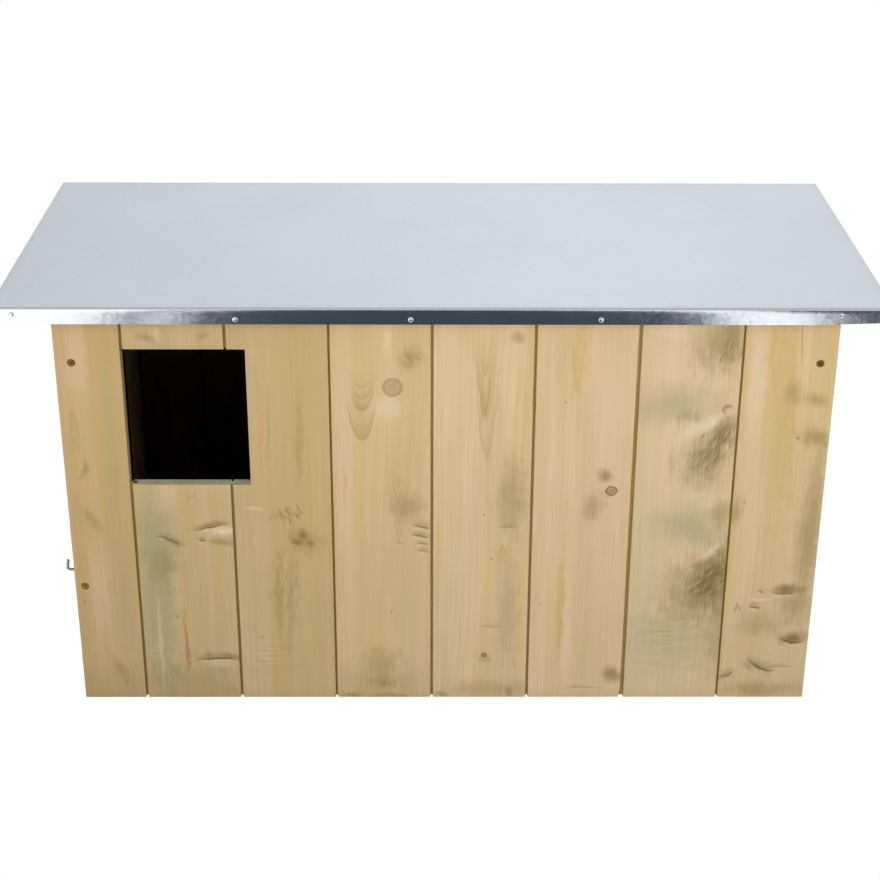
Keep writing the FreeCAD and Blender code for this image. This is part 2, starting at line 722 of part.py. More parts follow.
def ledge_screws():
    """Screws from inside through the ledges, one into each door board."""
    places = []
    for run in door_runs:
        for level in ("low", "high"):
            z = getattr(at, "ledge_" + level)
            point = Vector(at.left_inside + size("rail_deep"), at.door_back - middle(run), z)
            places.append((point, Vector(-1, 0, 0)))
    wood_screws("ledge_screws", places, size("rail_deep") + size("rail_screw_bite"))


def floor_screws():
    """Screws from below into the rails and posts that stand on the floor."""
    places = []
    up = Vector(0, 0, 1)
    for y in (at.front_inside + size("rail_deep") / 2, at.back_inside - size("rail_deep") / 2):
        for number in range(int(size("floor_screw_pairs"))):
            x = size("floor_screw_pitch") * (number + 0.5)
            places += [(Vector(-x, y, 0), up), (Vector(x, y, 0), up)]
    for y in (at.front_inside + size("post_deep") / 2, at.back_inside - size("post_deep") / 2):
        x = at.right - size("post_wide") / 2
        places += [(Vector(-x, y, 0), up), (Vector(x, y, 0), up)]
    for run in floor_runs:
        y = at.front_inside + size("floor_margin") + middle(run)
        places.append((Vector(at.right_inside - size("rail_deep") / 2, y, 0), up))
    wood_screws("floor_screws", places, size("wall") + size("floor_screw_bite"))


def roof_frame():
    """Frame of the roof: origin at the front edge, level with the deck's underside."""
    return Placement(Vector(at.roof_x, at.roof_y, at.roof_z), Rotation(Vector(1, 0, 0), size("roof_pitch")))


def deck_screws():
    """Screws down through the deck into posts, side rail and head rail, hidden by the sheet."""
    frame = roof_frame()
    along_slope = at.roof_run / at.roof_reach
    post_middle = size("wall") + size("post_deep") / 2
    places = []
    for number, run in enumerate(deck_runs):
        along = at.deck_inset + middle(run)
        if number == 0:
            along = (size("overhang_front") + post_middle) * along_slope
        if number == len(deck_runs) - 1:
            along = (size("overhang_front") + size("box_depth") - post_middle) * along_slope
        reach = at.right - size("deck_screw_inset")
        for x in (-reach, reach):
            point = frame.multVec(Vector(x - at.roof_x, along, size("wall")))
            places.append((point, frame.Rotation.multVec(Vector(0, 0, -1))))
    wood_screws("deck_screws", places, size("wall") + size("deck_screw_bite"))


def hinge_screws():
    """Two small screws through each leaf."""
    reach = (at.leaf_start + size("leaf_width")) / 2
    x = at.left - size("leaf_gauge")
    for name, y in (("hinge_screws_post", at.hinge_y + reach), ("hinge_screws_door", at.hinge_y - reach)):
        places = []
        for level in ("low", "high"):
            for step in (-0.5, 0.5):
                z = getattr(at, "hinge_" + level) + step * size("hinge_screw_pitch")
                places.append((Vector(x, y, z), Vector(1, 0, 0)))
        wood_screws(name, places, size("leaf_gauge") + size("hinge_screw_bite"), "hinge_screw")


def roof_nails():
    """Nails through the lips of the sheet into the edges of the deck."""
    frame = roof_frame()
    half = at.roof_width / 2
    spots = [
        (size("nail_1_from_left") - half, size("nail_rise_end")),
        (size("nail_2_from_left") - half, size("nail_rise")),
        (-size("nail_3_off_middle"), size("nail_rise")),
        (half - size("nail_4_from_right"), size("nail_rise")),
        (half - size("nail_5_from_right"), size("nail_rise_end")),
    ]
    places = []
    for x, z in spots:
        places.append((Vector(x, 0, z), Vector(0, 1, 0)))
        places.append((Vector(x, at.roof_run, z), Vector(0, -1, 0)))
    inset = size("nail_side_inset")
    for y in (inset, at.roof_run / 2, at.roof_run - inset):
        for side in (-1, 1):
            places.append((Vector(side * half, y, size("nail_rise")), Vector(-side, 0, 0)))
    placed = [(frame.multVec(point), frame.Rotation.multVec(way)) for point, way in places]
    group("roof_nails", [nail(point, way) for point, way in placed])
    hole = size("nail_shank") / 2 + size("screw_fit")
    depth = size("nail_length") + size("screw_fit")
    drills.extend(Part.makeCylinder(hole, depth, point, way) for point, way in placed)


def plain_holes():
    """Fixing holes through the back wall and its rails, and the hook's hole in its post."""
    depth = size("wall") + size("rail_deep")
    hole = size("fixing_hole") / 2
    low = size("wall") + size("rail_high") / 2
    high = under_roof_at(at.back_inside - size("rail_deep")) - size("rail_high") / 2
    for x in (at.left + size("fixing_inset"), at.right - size("fixing_inset")):
        for z in (low, high):
            drills.append(Part.makeCylinder(hole, depth, Vector(x, at.back, z), Vector(0, -1, 0)))
    start = Vector(at.left, at.front + size("hook_setback"), size("hook_height"))
    radius = size("hook_wire") / 2 + size("hook_fit")
    drills.append(Part.makeCylinder(radius, size("hook_embed") + size("hook_fit"), start, Vector(1, 0, 0)))


def drilled(name, blank):
    """Finished piece: the blank with every hole that reaches it."""
    near = [tool for tool in drills if tool.BoundBox.intersect(blank.Shape.BoundBox)]
    holes = [tool for tool in near if tool.common(blank.Shape).Volume > 0]
    if not holes or name in ("turn_hook", "hinge_pins"):
        blank.Label = name
        return blank
    tools = doc.addObject("Part::Feature", name + "_holes")
    tools.Shape = Part.makeCompound(holes)
    piece = cut(name + "_piece", blank, tools)
    piece.Label = name
    return piece


front_wall()
back_wall()
right_side()
door()
floor()
posts()
rails()
roof_deck()
roof_sheet()
hinges()
turn_hook()
doc.recompute()

corner_screws()
rail_screws()
ledge_screws()
floor_screws()
deck_screws()
hinge_screws()
roof_nails()
plain_holes()

pieces = {}
for name, blank in blanks.items():
    node = name.replace("_piece", "")
    pieces[node] = drilled(node, blank)
pieces.update(groups)
doc.recompute()

for thing in doc.Objects:
    if "Invalid" in thing.State or "Error" in thing.State:
        raise RuntimeError("%s failed: %s" % (thing.Label, thing.State))
several = set(groups) | {"hinge_leaves_post", "hinge_leaves_door", "hinge_pins"}
for node, piece in pieces.items():
    shape = piece.Shape
    if shape.isNull() or not shape.isValid():
        raise RuntimeError("%s has no valid shape" % node)
    if node not in several and len(shape.Solids) != 1:
        raise RuntimeError("%s has %d solids" % (node, len(shape.Solids)))

os.makedirs("parts", exist_ok=True)
for node, piece in pieces.items():
    piece.Shape.exportStep("parts/%s.step" % node)
print("%d nodes" % len(pieces))
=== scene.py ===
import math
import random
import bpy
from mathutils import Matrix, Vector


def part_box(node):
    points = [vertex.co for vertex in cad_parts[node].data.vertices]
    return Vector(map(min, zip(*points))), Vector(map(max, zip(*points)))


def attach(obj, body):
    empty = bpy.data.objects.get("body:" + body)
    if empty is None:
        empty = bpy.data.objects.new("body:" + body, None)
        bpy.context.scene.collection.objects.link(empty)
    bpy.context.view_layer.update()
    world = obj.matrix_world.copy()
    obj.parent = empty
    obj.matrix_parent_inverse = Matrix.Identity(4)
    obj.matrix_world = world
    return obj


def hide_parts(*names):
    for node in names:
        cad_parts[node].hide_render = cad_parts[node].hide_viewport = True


bl_info = {
    "name": "Owl nest box",
    "version": (1, 0, 0),
    "blender": (4, 5, 0),
    "location": "View3D > Sidebar > Nest box",
    "description": "Finishes an owl nest box: planed boards, sheet roof, nails, screws, hook and studio",
    "category": "Object",
}

from contextlib import contextmanager
from functools import cache, partial

import bmesh
import bpy
import numpy as np
from bpy.props import FloatProperty, FloatVectorProperty, PointerProperty
from mathutils import Matrix, Vector

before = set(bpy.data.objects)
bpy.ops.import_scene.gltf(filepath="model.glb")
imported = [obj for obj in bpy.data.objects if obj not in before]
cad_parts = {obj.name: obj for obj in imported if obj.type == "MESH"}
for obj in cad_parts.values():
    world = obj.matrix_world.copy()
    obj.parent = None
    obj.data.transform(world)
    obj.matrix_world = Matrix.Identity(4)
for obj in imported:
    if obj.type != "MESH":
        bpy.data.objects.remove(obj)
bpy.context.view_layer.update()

# Sizes of the box in metres, where X runs right, Y to the back and Z up. A point nearer than NEAR to a face
# lies on it.
MM = 0.001
NEAR = 0.01 * MM
WALL = 15 * MM
TONGUE = 5 * MM
TONGUE_FRONT = 5 * MM
TONGUE_BACK = 10 * MM
TONGUE_PLAY = 0.25 * MM
END_ROUNDING = 0.4 * MM
ROOF_PITCH = math.radians(3)
BOX_WIDTH = 836 * MM
FRONT_FACE = -180 * MM
FRONT_HEIGHT = 483 * MM
DOOR_HEAD_GAP = 6 * MM
ENTRANCE_LOW = Vector((-344.5, 0, 274)) * MM
ENTRANCE_HIGH = Vector((-214.5, 0, 433.5)) * MM
SAW_WANDER = 0.35 * MM
SPLINTER_WIDE = 2.4 * MM
SPLINTER_TALL = 11 * MM
ROOF_CORNER = Vector((-470.5, -225, 483 - 45 * math.tan(ROOF_PITCH))) * MM
DECK_TOP = 15.6 * MM
LIP_DROP = 2.5 * MM
SHEET_GAUGE = 0.6 * MM
FOLD_RADIUS = 2.1 * MM
LIP_STEP = 10 * MM
LIP_STEPS = 8
HOOK_FOOT = Vector((-418, -151, 153)) * MM
HOOK_WIRE = 1.65 * MM
HOOK_EMBED = 16 * MM
HOOK_REACH = 13.7 * MM
HOOK_LEG = 12.7 * MM
HOOK_BEND = 3.5 * MM
HOOK_LEAN = math.radians(10)
HOOK_TIP = 0.5 * MM
SCREW_HEAD = 7.4 * MM
SCREW_SHANK = 4 * MM
SCREW_SINK = 0.4 * MM
SCREW_HOLE = SCREW_HEAD / 2 + 0.8 * MM
SCREW_HOLE_DEEP = 2.4 * MM
LEAF_SCREW_HEAD = 5 * MM
LEAF_SCREW_SHANK = 2.5 * MM
NAIL_HEAD = 5.5 * MM
NAIL_HEAD_HIGH = 1 * MM
NAIL_SHANK = 2.2 * MM
NAIL_LENGTH = 20 * MM
NAIL_POINT = 3 * MM
FIXING_HOLE = 9 * MM
FIXING_SPAN = 660 * MM
RAIL_HIGH = 30 * MM

# The studio. The flag stands in the entrance, a little behind the face, and laps the side of the first board.
FLOOR_SIZE = 60
FLOOR_TOP = -0.2 * MM
FLAG_DEEP = 14 * MM
FLAG_THICK = 0.5 * MM
FLAG_LAP = 3.5 * MM
CAMERA_SENSOR = 36
CAMERA_PLACE = (-0.01989, -1.87278, 1.08165)
CAMERA_PITCH, CAMERA_YAW, CAMERA_ROLL = (math.radians(angle) for angle in (23.98970, -0.45110, 0.22446))

# A wave texture of scale 1 repeats after this length.
WAVE_REPEAT = 0.314
# The early wood of the board that the painted shade in the joints was matched on.
PALE_BOARD = "d8be93"


def linear(code):
    """Turns an sRGB hex colour into linear red, green and blue."""
    parts = [int(code[i:i + 2], 16) / 255 for i in (0, 2, 4)]
    return tuple(c / 12.92 if c <= 0.04045 else ((c + 0.055) / 1.055) ** 2.4 for c in parts)


def toned(colour, tone):
    """Multiplies a colour by a tone, channel by channel."""
    return [c * t for c, t in zip(colour, tone)]


# The setting that holds the mode of each type of node that has one.
MODES = {"Math": "operation", "VectorMath": "operation", "Mix": "data_type", "MapRange": "interpolation_type"}


def add_node(tree, kind, *inputs, **settings):
    """Adds a node, where kind is its type and its mode, if any.

    Inputs come in order, or by name among the settings. A node or a socket given as an input is linked.
    """
    kind, _, mode = kind.partition(" ")
    node = tree.nodes.new("ShaderNode" + kind)
    if mode:
        setattr(node, MODES[kind], mode)
    for name in [name for name in settings if name in node.bl_rna.properties]:
        setattr(node, name, settings.pop(name))
    sockets = [socket for socket in node.inputs if socket.enabled]
    pairs = list(zip(sockets, inputs))
    pairs += [(node.inputs[name.replace("_", " ")], value) for name, value in settings.items()]
    for socket, value in pairs:
        if isinstance(value, bpy.types.Node):
            value = next(output for output in value.outputs if output.enabled)
        if isinstance(value, bpy.types.NodeSocket):
            tree.links.new(value, socket)
        elif socket.type == "RGBA":
            socket.default_value = (*value, 1)
        else:
            socket.default_value = value
    return node


def blank_material(name):
    """Makes a material with no nodes yet, and gives it with the function that adds its nodes."""
    material = bpy.data.materials.new(name)
    material.use_nodes = True
    material.node_tree.nodes.clear()
    return material, partial(add_node, material.node_tree)


def select_only(piece):
    """Selects one object and makes it the active one."""
    bpy.ops.object.select_all(action="DESELECT")
    piece.select_set(True)
    bpy.context.view_layer.objects.active = piece


@contextmanager
def editing(piece):
    """Keeps a piece in edit mode for the lines under it."""
    select_only(piece)
    bpy.ops.object.mode_set(mode="EDIT")
    yield
    bpy.ops.object.mode_set(mode="OBJECT")


def pick(kind, test):
    """Selects the vertices, edges or faces in edit mode that pass a test."""
    mesh = bpy.context.edit_object.data
    bpy.ops.mesh.select_mode(type=kind)
    bpy.ops.mesh.select_all(action="DESELECT")
    shape = bmesh.from_edit_mesh(mesh)
    items = {"VERT": shape.verts, "EDGE": shape.edges, "FACE": shape.faces}[kind]
    chosen = [item for item in items if test(item)]
    if not chosen:
        raise RuntimeError("nothing to select on " + mesh.name)
    for item in chosen:
        item.select_set(True)
    shape.select_flush_mode()
    bmesh.update_edit_mesh(mesh)


def span(edge, axis):
    """Measures how far an edge runs along an axis."""
    return abs(edge.verts[0].co[axis] - edge.verts[1].co[axis])


def extrude(x, y, z):
    """Draws the selection out by a distance along each axis."""
    bpy.ops.mesh.extrude_region_move(TRANSFORM_OT_translate={"value": (x, y, z)})


def round_over(offset, segments):
    """Rounds the selected edges."""
    bpy.ops.mesh.bevel(offset=offset, offset_type="OFFSET", segments=segments, profile=0.5, affect="EDGES")


def start(name, primitive, **settings):
    """Adds a primitive to be shaped, with its place in its mesh."""
    bpy.ops.object.select_all(action="DESELECT")
    primitive(**settings)
    bpy.ops.object.transform_apply(location=True, rotation=True, scale=True)
    piece = bpy.context.object
    piece.name = name
    piece.data.name = name
    return piece


def start_cube(name, low, high):
    """Adds a cube between two corners."""
    low, high = Vector(low), Vector(high)
    return start(name, bpy.ops.mesh.primitive_cube_add, size=1, location=(low + high) / 2, scale=high - low)


def start_cylinder(name, foot, direction, radius, height, sides):
    """Adds a cylinder standing on a foot point."""
    turn = Vector(direction).to_track_quat("Z", "Y").to_euler()
    middle = Vector(foot) + Vector(direction).normalized() * height / 2
    return start(name, bpy.ops.mesh.primitive_cylinder_add, vertices=sides, radius=radius, depth=height,
                 location=middle, rotation=turn)


def apply_modifier(piece, kind, **settings):
    """Adds a modifier, sets it and applies it."""
    select_only(piece)
    bpy.ops.object.modifier_add(type=kind)
    modifier = piece.modifiers[-1]
    for name, value in settings.items():
        setattr(modifier, name, value)
    bpy.ops.object.modifier_apply(modifier=modifier.name)


def cut_away(piece, cutter):
    """Takes the cutter's shape out of the piece and clears the cutter away."""
    apply_modifier(piece, "BOOLEAN", operation="DIFFERENCE", solver="EXACT", object=cutter)
    bpy.data.objects.remove(cutter)


def smooth(piece, degrees=35):
    """Shades a piece smooth except across edges sharper than an angle."""
    select_only(piece)
    bpy.ops.object.shade_smooth_by_angle(angle=math.radians(degrees))


def settle(piece, turn, place):
    """Turns and moves a piece, and puts its place in its mesh."""
    select_only(piece)
    piece.matrix_world = Matrix.Translation(place) @ turn.to_4x4()
    bpy.ops.object.transform_apply(location=True, rotation=True, scale=True)


def hand_over(piece, body, material, node):
    """Gives a piece its material, body and slot, and hides the solid that it stands for."""
    piece.data.materials.clear()
    piece.data.materials.append(material)
    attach(piece, body)
    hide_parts(node)


def dress(node, material):
    """Gives a solid that is kept as it is a better material."""
    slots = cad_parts[node].data.materials
    slots.clear()
    slots.append(material)


def solids(node):
    """Finds the separate solids of a node, each as an array of its points."""
    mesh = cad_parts[node].data
    points = np.array([v.co for v in mesh.vertices])
    keys = {}
    first = [keys.setdefault(tuple(point), len(keys)) for point in np.round(points, 6)]
    group = list(range(len(keys)))

    def root(i):
        while group[i] != i:
            group[i] = group[group[i]]
            i = group[i]
        return i

    for polygon in mesh.polygons:
        ids = [root(first[v]) for v in polygon.vertices]
        for other in ids[1:]:
            group[root(other)] = root(ids[0])
    found = {}
    for number, point in enumerate(points):
        found.setdefault(root(first[number]), []).append(point)
    return [np.array(found[key]) for key in sorted(found)]


@cache
def fixing_places(node):
    """Finds each nail's or screw's head: the middle of its top and the way that it points."""
    places = []
    for points in solids(node):
        middle = (points.min(0) + points.max(0)) / 2
        way = np.linalg.svd(points - points.mean(0))[2][0]
        along = (points - middle) @ way
        spread = np.linalg.norm(points - middle - np.outer(along, way), axis=1)
        if along[spread.argmax()] > 0:
            way, along = -way, -along
        top = points[along < along.min() + 0.1 * MM]
        places.append((Vector((top.min(0) + top.max(0)) / 2), Vector(way)))
    return places


def scatter(name, model, places):
    """Copies a model that points down its own Z to each place, each copy with its own mesh, as one piece."""
    copies = []
    for spot, way in places:
        select_only(model)
        bpy.ops.object.duplicate(linked=False)
        copies.append(bpy.context.object)
        settle(copies[-1], way.to_track_quat("-Z", "Y").to_matrix(), spot)
    for copy in copies:
        copy.select_set(True)
    bpy.context.view_layer.objects.active = copies[0]
    bpy.ops.object.join()
    piece = bpy.context.object
    piece.name = name
    piece.data.name = name
    bpy.data.objects.remove(model)
    return piece


STAINS = {
    stain: linear(code) for stain, code in (
        ("olive", "8f7b45"), ("moss", "7f6c39"), ("green", "a39b70"), ("dark", "5b4526"), ("brown", "8a6a3f"),
        ("pale", "e3d3b2"), ("rose", "dcbb98"), ("pink", "c99470"), ("yellow", "c8a35c"), ("red", "b0613a"),
        # The joint colour is painted shade for the joints between the boards.
        ("knot", "b6946f"), ("ring", "7a5235"), ("painted_joint_shade", "b49446"),
    )
}

# Marks on the front boards: form, colour, place across and up in millimetres, half width, half height,
# turn in degrees and strength. Soft marks fade out and hard ones have an edge; a few soft moss and brown ones
# beside tears are painted shade of the cracks, and the wide olive ones at the foot of boards 1, 2 lower and 4
# are painted shade. Feathers are torn strokes along the mark's own upright, tears are cracks with painted
# shade over them and a painted highlight on the lip under them, straight or bent to a crest or a cup.
# Planing marks are level lines left by the planer. Arches and bowls are growth rings that open upwards, or
# downwards where the half height is negative, with the ring spacing in place of a turn.
FRONT_MARKS = {
    "1": (
        ("soft", "rose", -395, 420, 16, 60, 0, 0.4),
        ("soft", "green", -366, 330, 9, 130, 1, 0.35),
        ("soft", "green", -362, 120, 8, 130, 0, 0.3),
        ("arch", "olive", -404, 364, 9, -60, 30, 0.45),
        ("soft", "olive", -396, 292, 4, 18, 12, 0.5),
        ("soft", "olive", -393, 232, 6, 16, -30, 0.4),
        ("hard", "brown", -409, 127, 1.4, 4, 0, 0.45),
        ("soft", "olive", -372, 35, 8, 30, -25, 0.4),
        ("soft", "rose", -390, 150, 14, 60, 0, 0.35),
        # Painted shade: darker towards the foot of the board.
        ("soft", "olive", -385, 12, 60, 45, 0, 0.3),
    ),
    "2_upper": (
        ("soft", "olive", -320, 447, 12, 6, 20, 0.45),
        ("soft", "olive", -258, 450, 10, 5, -10, 0.4),
        ("soft", "pale", -308, 452, 5, 12, 0, 0.3),
    ),
    "2_lower": (
        ("soft", "rose", -312, 258, 14, 22, 0, 0.5),
        ("soft", "green", -322, 205, 30, 60, 0, 0.6),
        ("soft", "green", -324, 110, 22, 150, 0, 0.75),
        ("soft", "olive", -318, 172, 17, 34, 0, 0.4),
        ("soft", "pale", -326, 70, 3, 80, 0, 0.35),
        ("soft", "yellow", -285, 240, 9, 24, 0, 0.3),
        ("feather", "olive", -281, 261, 10, 7, 30, 0.6),
        ("tear", "dark", -308, 206, 20, 1.3, 22, 0.7),
        # Painted shade around the tear before it.
        ("soft", "moss", -304, 205, 13, 4, 22, 0.7),
        ("soft", "rose", -246, 217, 24, 6, -8, 0.75),
        ("soft", "pale", -244, 218, 16, 4, -8, 0.6),
        # Painted shade around the tear after it.
        ("soft", "moss", -262, 224, 22, 4, -14, 0.45),
        ("tear", "dark", -260, 222, 24, 1.4, -14, 0.8),
        ("tear", "dark", -272, 206, 8, 1.4, 10, 0.6),
        ("soft", "olive", -250, 203, 22, 5, 4, 0.55),
        ("hard", "brown", -305, 108, 1.8, 2.5, 0, 0.6),
        ("soft", "red", -297, 72, 2.2, 44, 0, 0.7),
        ("soft", "pink", -297, 160, 2, 70, 0, 0.35),
        ("soft", "pink", -261, 110, 2, 70, 0, 0.45),
        ("crest", "dark", -262, 53, 31, 1.5, 0, 0.95),
        # Painted shade over the crest before them.
        ("soft", "brown", -272, 56, 4, 4, 0, 0.5),
        ("soft", "moss", -245, 56, 12, 4, 8, 0.6),
        ("soft", "pale", -262, 44, 26, 4, 0, 0.35),
        ("planing", "pale", -331, 64, 12, 16, 0, 0.3),
        # Painted shade: darker towards the foot of the board.
        ("soft", "olive", -290, 12, 80, 45, 0, 0.42),
    ),
    "3": (
        ("soft", "pink", -202, 337, 2.6, 30, 2, 0.6),
        ("soft", "pink", -204, 401, 2.6, 22, 0, 0.5),
        ("soft", "green", -194, 345, 2.8, 50, 2, 0.6),
        ("soft", "olive", -160, 330, 6, 70, 2, 0.3),
        ("soft", "olive", -177, 238, 15, 9, 0, 0.3),
        ("feather", "moss", -176, 236, 20, 12, -25, 0.95),
        ("soft", "olive", -158, 205, 26, 18, 20, 0.4),
        ("soft", "brown", -159, 212, 6, 7, 30, 0.85),
        ("soft", "brown", -166, 203, 8, 6, 20, 0.85),
        ("soft", "brown", -151, 202, 8, 5, 20, 0.7),
        ("feather", "olive", -184, 150, 24, 60, 2, 0.32),
        ("hard", "dark", -210, 81, 1.4, 1.4, 0, 0.7),
        ("soft", "olive", -188, 130, 7, 70, 1, 0.38),
        ("soft", "olive", -176, 120, 6, 80, 2, 0.34),
        ("planing", "pale", -200, 60, 26, 26, 0, 0.3),
        ("planing", "olive", -195, 50, 34, 34, 0, 0.25),
        ("soft", "pale", -212, 244, 12, 3, 0, 0.4),
    ),
    "4": (
        ("soft", "rose", -110, 300, 12, 180, 0, 0.5),
        ("soft", "pale", -66, 366, 26, 16, 0, 0.35),
        ("soft", "pale", -64, 446, 5, 20, 0, 0.35),
        ("bowl", "olive", -89, 362, 16, 52, 14, 0.5),
        ("bowl", "olive", -91, 328, 18, 60, 34, 0.55),
        ("arch", "olive", -52, 205, 20, 150, 22, 0.4),
        ("knot", "knot", -58, 390, 11.8, 11.8, 0, 0.9),
        ("soft", "olive", -38, 424, 17, 13, -40, 0.5),
        ("feather", "moss", -40, 420, 15, 9, -45, 0.6),
        ("soft", "pink", -111, 270, 2, 30, -3, 0.5),
        ("tear", "dark", -27, 222, 12, 1.5, 8, 0.7),
        ("tear", "dark", -27, 211, 12, 1.6, 9, 0.75),
        ("tear", "brown", -26, 200, 10, 1.4, 4, 0.7),
        ("tear", "brown", -25, 191, 9, 1.2, 4, 0.6),
        ("hard", "brown", -50, 202, 7, 0.9, 0, 0.6),
        ("soft", "olive", -42, 246, 20, 20, 30, 0.45),
        ("hard", "brown", -61, 114, 1.4, 3, 10, 0.6),
        ("hard", "dark", -71, 18, 2.6, 2.4, 0, 0.6),
        ("soft", "olive", -72, 20, 22, 9, 5, 0.5),
        ("soft", "olive", -73, 46, 26, 26, 30, 0.35),
        # Painted shade: darker towards the foot of the board.
        ("soft", "olive", -71, 12, 80, 45, 0, 0.28),
        ("soft", "moss", -107, 4, 13, 4, 0, 0.6),
        ("soft", "brown", -58, 1, 34, 3, 0, 0.5),
    ),
    "5": (
        ("soft", "rose", 10, 380, 16, 120, 0, 0.4),
        ("arch", "olive", 41, 352, 13, 95, 48, 0.6),
        ("arch", "olive", 44, 300, 18, 160, 52, 0.4),
        ("soft", "olive", 76, 448, 9, 8, 0, 0.5),
        ("soft", "olive", 73, 258, 20, 56, 0, 0.5),
        ("tear", "brown", 70, 222, 15, 1.2, 4, 0.4),
        ("hard", "dark", 43, 237, 1.4, 2, 0, 0.6),
        ("hard", "dark", 52, 182, 1.3, 1.8, 0, 0.6),
        ("soft", "yellow", 63, 190, 9, 14, 0, 0.4),
        ("arch", "olive", 63, 200, 8, -30, 15, 0.4),
        ("soft", "olive", 72, 110, 14, 90, 0, 0.35),
        ("soft", "brown", 45, 52, 9, 8, 0, 0.4),
        ("knot", "olive", 45, 57, 3.6, 3.4, 0, 1.0),
        ("tear", "brown", 52, 94, 16, 0.9, 0, 0.35),
        ("soft", "olive", 50, 12, 60, 14, 0, 0.4),
        ("soft", "moss", -4, 3, 8, 4, 0, 0.5),
        ("soft", "brown", 75, 8, 5, 9, 0, 0.5),
    ),
    "6": (
        ("soft", "yellow", 140, 425, 9, 56, 0, 0.35),
        ("arch", "yellow", 140, 382, 11, 90, 60, 0.7),
        ("soft", "rose", 180, 330, 26, 150, 0, 0.4),
        ("hard", "brown", 129, 373, 1.5, 2, 0, 0.6),
        ("soft", "olive", 175, 285, 11, 10, 30, 0.75),
        ("soft", "olive", 165, 248, 15, 22, 20, 0.5),
        ("knot", "knot", 183, 267, 6.9, 6.3, 0, 1.0),
        ("soft", "brown", 183, 266, 8, 7, 0, 0.45),
        ("soft", "yellow", 131, 130, 5, 80, 1, 0.6),
        ("soft", "yellow", 133, 90, 3, 40, 1, 0.5),
        ("hard", "brown", 180, 188, 1.3, 1.5, 0, 0.6),
        ("hard", "brown", 108, 124, 1.3, 2, 0, 0.6),
        ("soft", "olive", 194, 31, 12, 14, -30, 0.85),
        ("tear", "brown", 160, 12, 30, 0.9, 0, 0.4),
    ),
    "7": (
        ("soft", "rose", 240, 420, 36, 60, 0, 0.4),
        ("soft", "pale", 246, 468, 44, 22, 0, 0.5),
        ("soft", "olive", 290, 438, 36, 36, 30, 0.6),
        ("soft", "moss", 305, 446, 14, 30, 10, 0.45),
        ("feather", "moss", 300, 434, 20, 28, 28, 0.45),
        ("soft", "green", 246, 370, 56, 28, -8, 0.6),
        ("soft", "olive", 262, 356, 18, 9, 0, 0.35),
        ("soft", "olive", 286, 306, 30, 38, 22, 0.75),
        ("soft", "moss", 301, 336, 15, 28, 25, 0.85),
        ("feather", "moss", 291, 318, 24, 38, 28, 0.7),
        ("soft", "pale", 276, 343, 34, 7, -36, 0.5),
        ("soft", "rose", 232, 290, 22, 70, 0, 0.4),
        ("hard", "ring", 304.4, 364.6, 7.8, 7.8, 0, 0.6),
        ("hard", "rose", 306.6, 362.2, 6.8, 6.8, 0, 0.7),
        ("soft", "pale", 308, 361, 5, 5, 0, 0.3),
        ("soft", "pink", 247, 301, 4, 24, 0, 0.5),
        ("soft", "olive", 306, 240, 16, 18, 20, 0.5),
        ("soft", "green", 272, 222, 50, 28, 8, 0.6),
        ("soft", "olive", 284, 138, 46, 50, 16, 0.6),
        ("soft", "moss", 303, 160, 24, 50, 18, 0.9),
        ("feather", "dark", 296, 158, 20, 38, 40, 0.6),
        ("soft", "pale", 296, 192, 20, 5, -40, 0.5),
        ("soft", "yellow", 283, 187, 8, 7, 0, 0.5),
        ("soft", "olive", 312, 95, 14, 80, 0, 0.45),
        ("soft", "green", 262, 75, 60, 50, 0, 0.4),
        ("planing", "olive", 262, 90, 44, 34, 0, 0.35),
        ("planing", "pale", 258, 55, 40, 40, 0, 0.3),
    ),
    "end": (
        ("soft", "yellow", 363, 360, 20, 180, -3, 0.5),
        ("soft", "yellow", 376, 350, 4, 90, -3, 0.45),
        ("soft", "yellow", 349, 430, 3, 50, -3, 0.45),
        ("soft", "pale", 334, 400, 11, 80, 0, 0.4),
        ("soft", "rose", 330, 300, 12, 120, 0, 0.4),
        ("hard", "brown", 378, 446, 0.8, 38, -4, 0.55),
        ("soft", "olive", 399, 376, 18, 9, 15, 0.5),
        ("soft", "olive", 402, 331, 20, 15, 20, 0.6),
        ("hard", "brown", 383, 331, 2.4, 2.4, 0, 0.5),
        ("soft", "olive", 374, 384, 11, 14, 0, 0.45),
        ("hard", "brown", 331, 252, 1.5, 2.4, 0, 0.6),
        ("soft", "olive", 322, 240, 9, 22, 10, 0.55),
        ("soft", "olive", 406, 215, 16, 110, 2, 0.55),
        ("soft", "olive", 398, 120, 28, 22, 0, 0.45),
        # Painted shade over the cup after it.
        ("soft", "moss", 386, 142, 17, 9, 0, 0.8),
        ("cup", "dark", 384, 137, 14, 1.6, -2, 0.85),
        ("tear", "dark", 358, 139, 5, 1.2, 12, 0.6),
        ("tear", "dark", 352, 119, 8, 1.6, 8, 0.8),
        ("soft", "pale", 356, 128, 13, 3, 8, 0.5),
        ("hard", "red", 332, 120, 2, 8, 12, 0.55),
        ("hard", "red", 336, 118, 1.4, 5, -18, 0.5),
        # Painted shade over the cup after it.
        ("soft", "moss", 400, 79, 18, 10, 0, 0.9),
        ("cup", "dark", 399, 73, 18, 2, 8, 0.9),
        ("soft", "olive", 362, 96, 34, 18, 0, 0.35),
        # Painted shade along the cup after it.
        ("soft", "moss", 361, 39, 20, 6, 27, 0.6),
        ("cup", "dark", 364, 40, 24, 1.9, 27, 0.85),
        ("tear", "olive", 388, 40, 18, 1, -2, 0.6),
        # Painted shade beside the cup after it.
        ("soft", "moss", 326, 28, 12, 6, -20, 0.5),
        ("cup", "brown", 328, 30, 12, 1.6, -28, 0.75),
        ("soft", "olive", 368, 12, 54, 12, 0, 0.5),
    ),
}

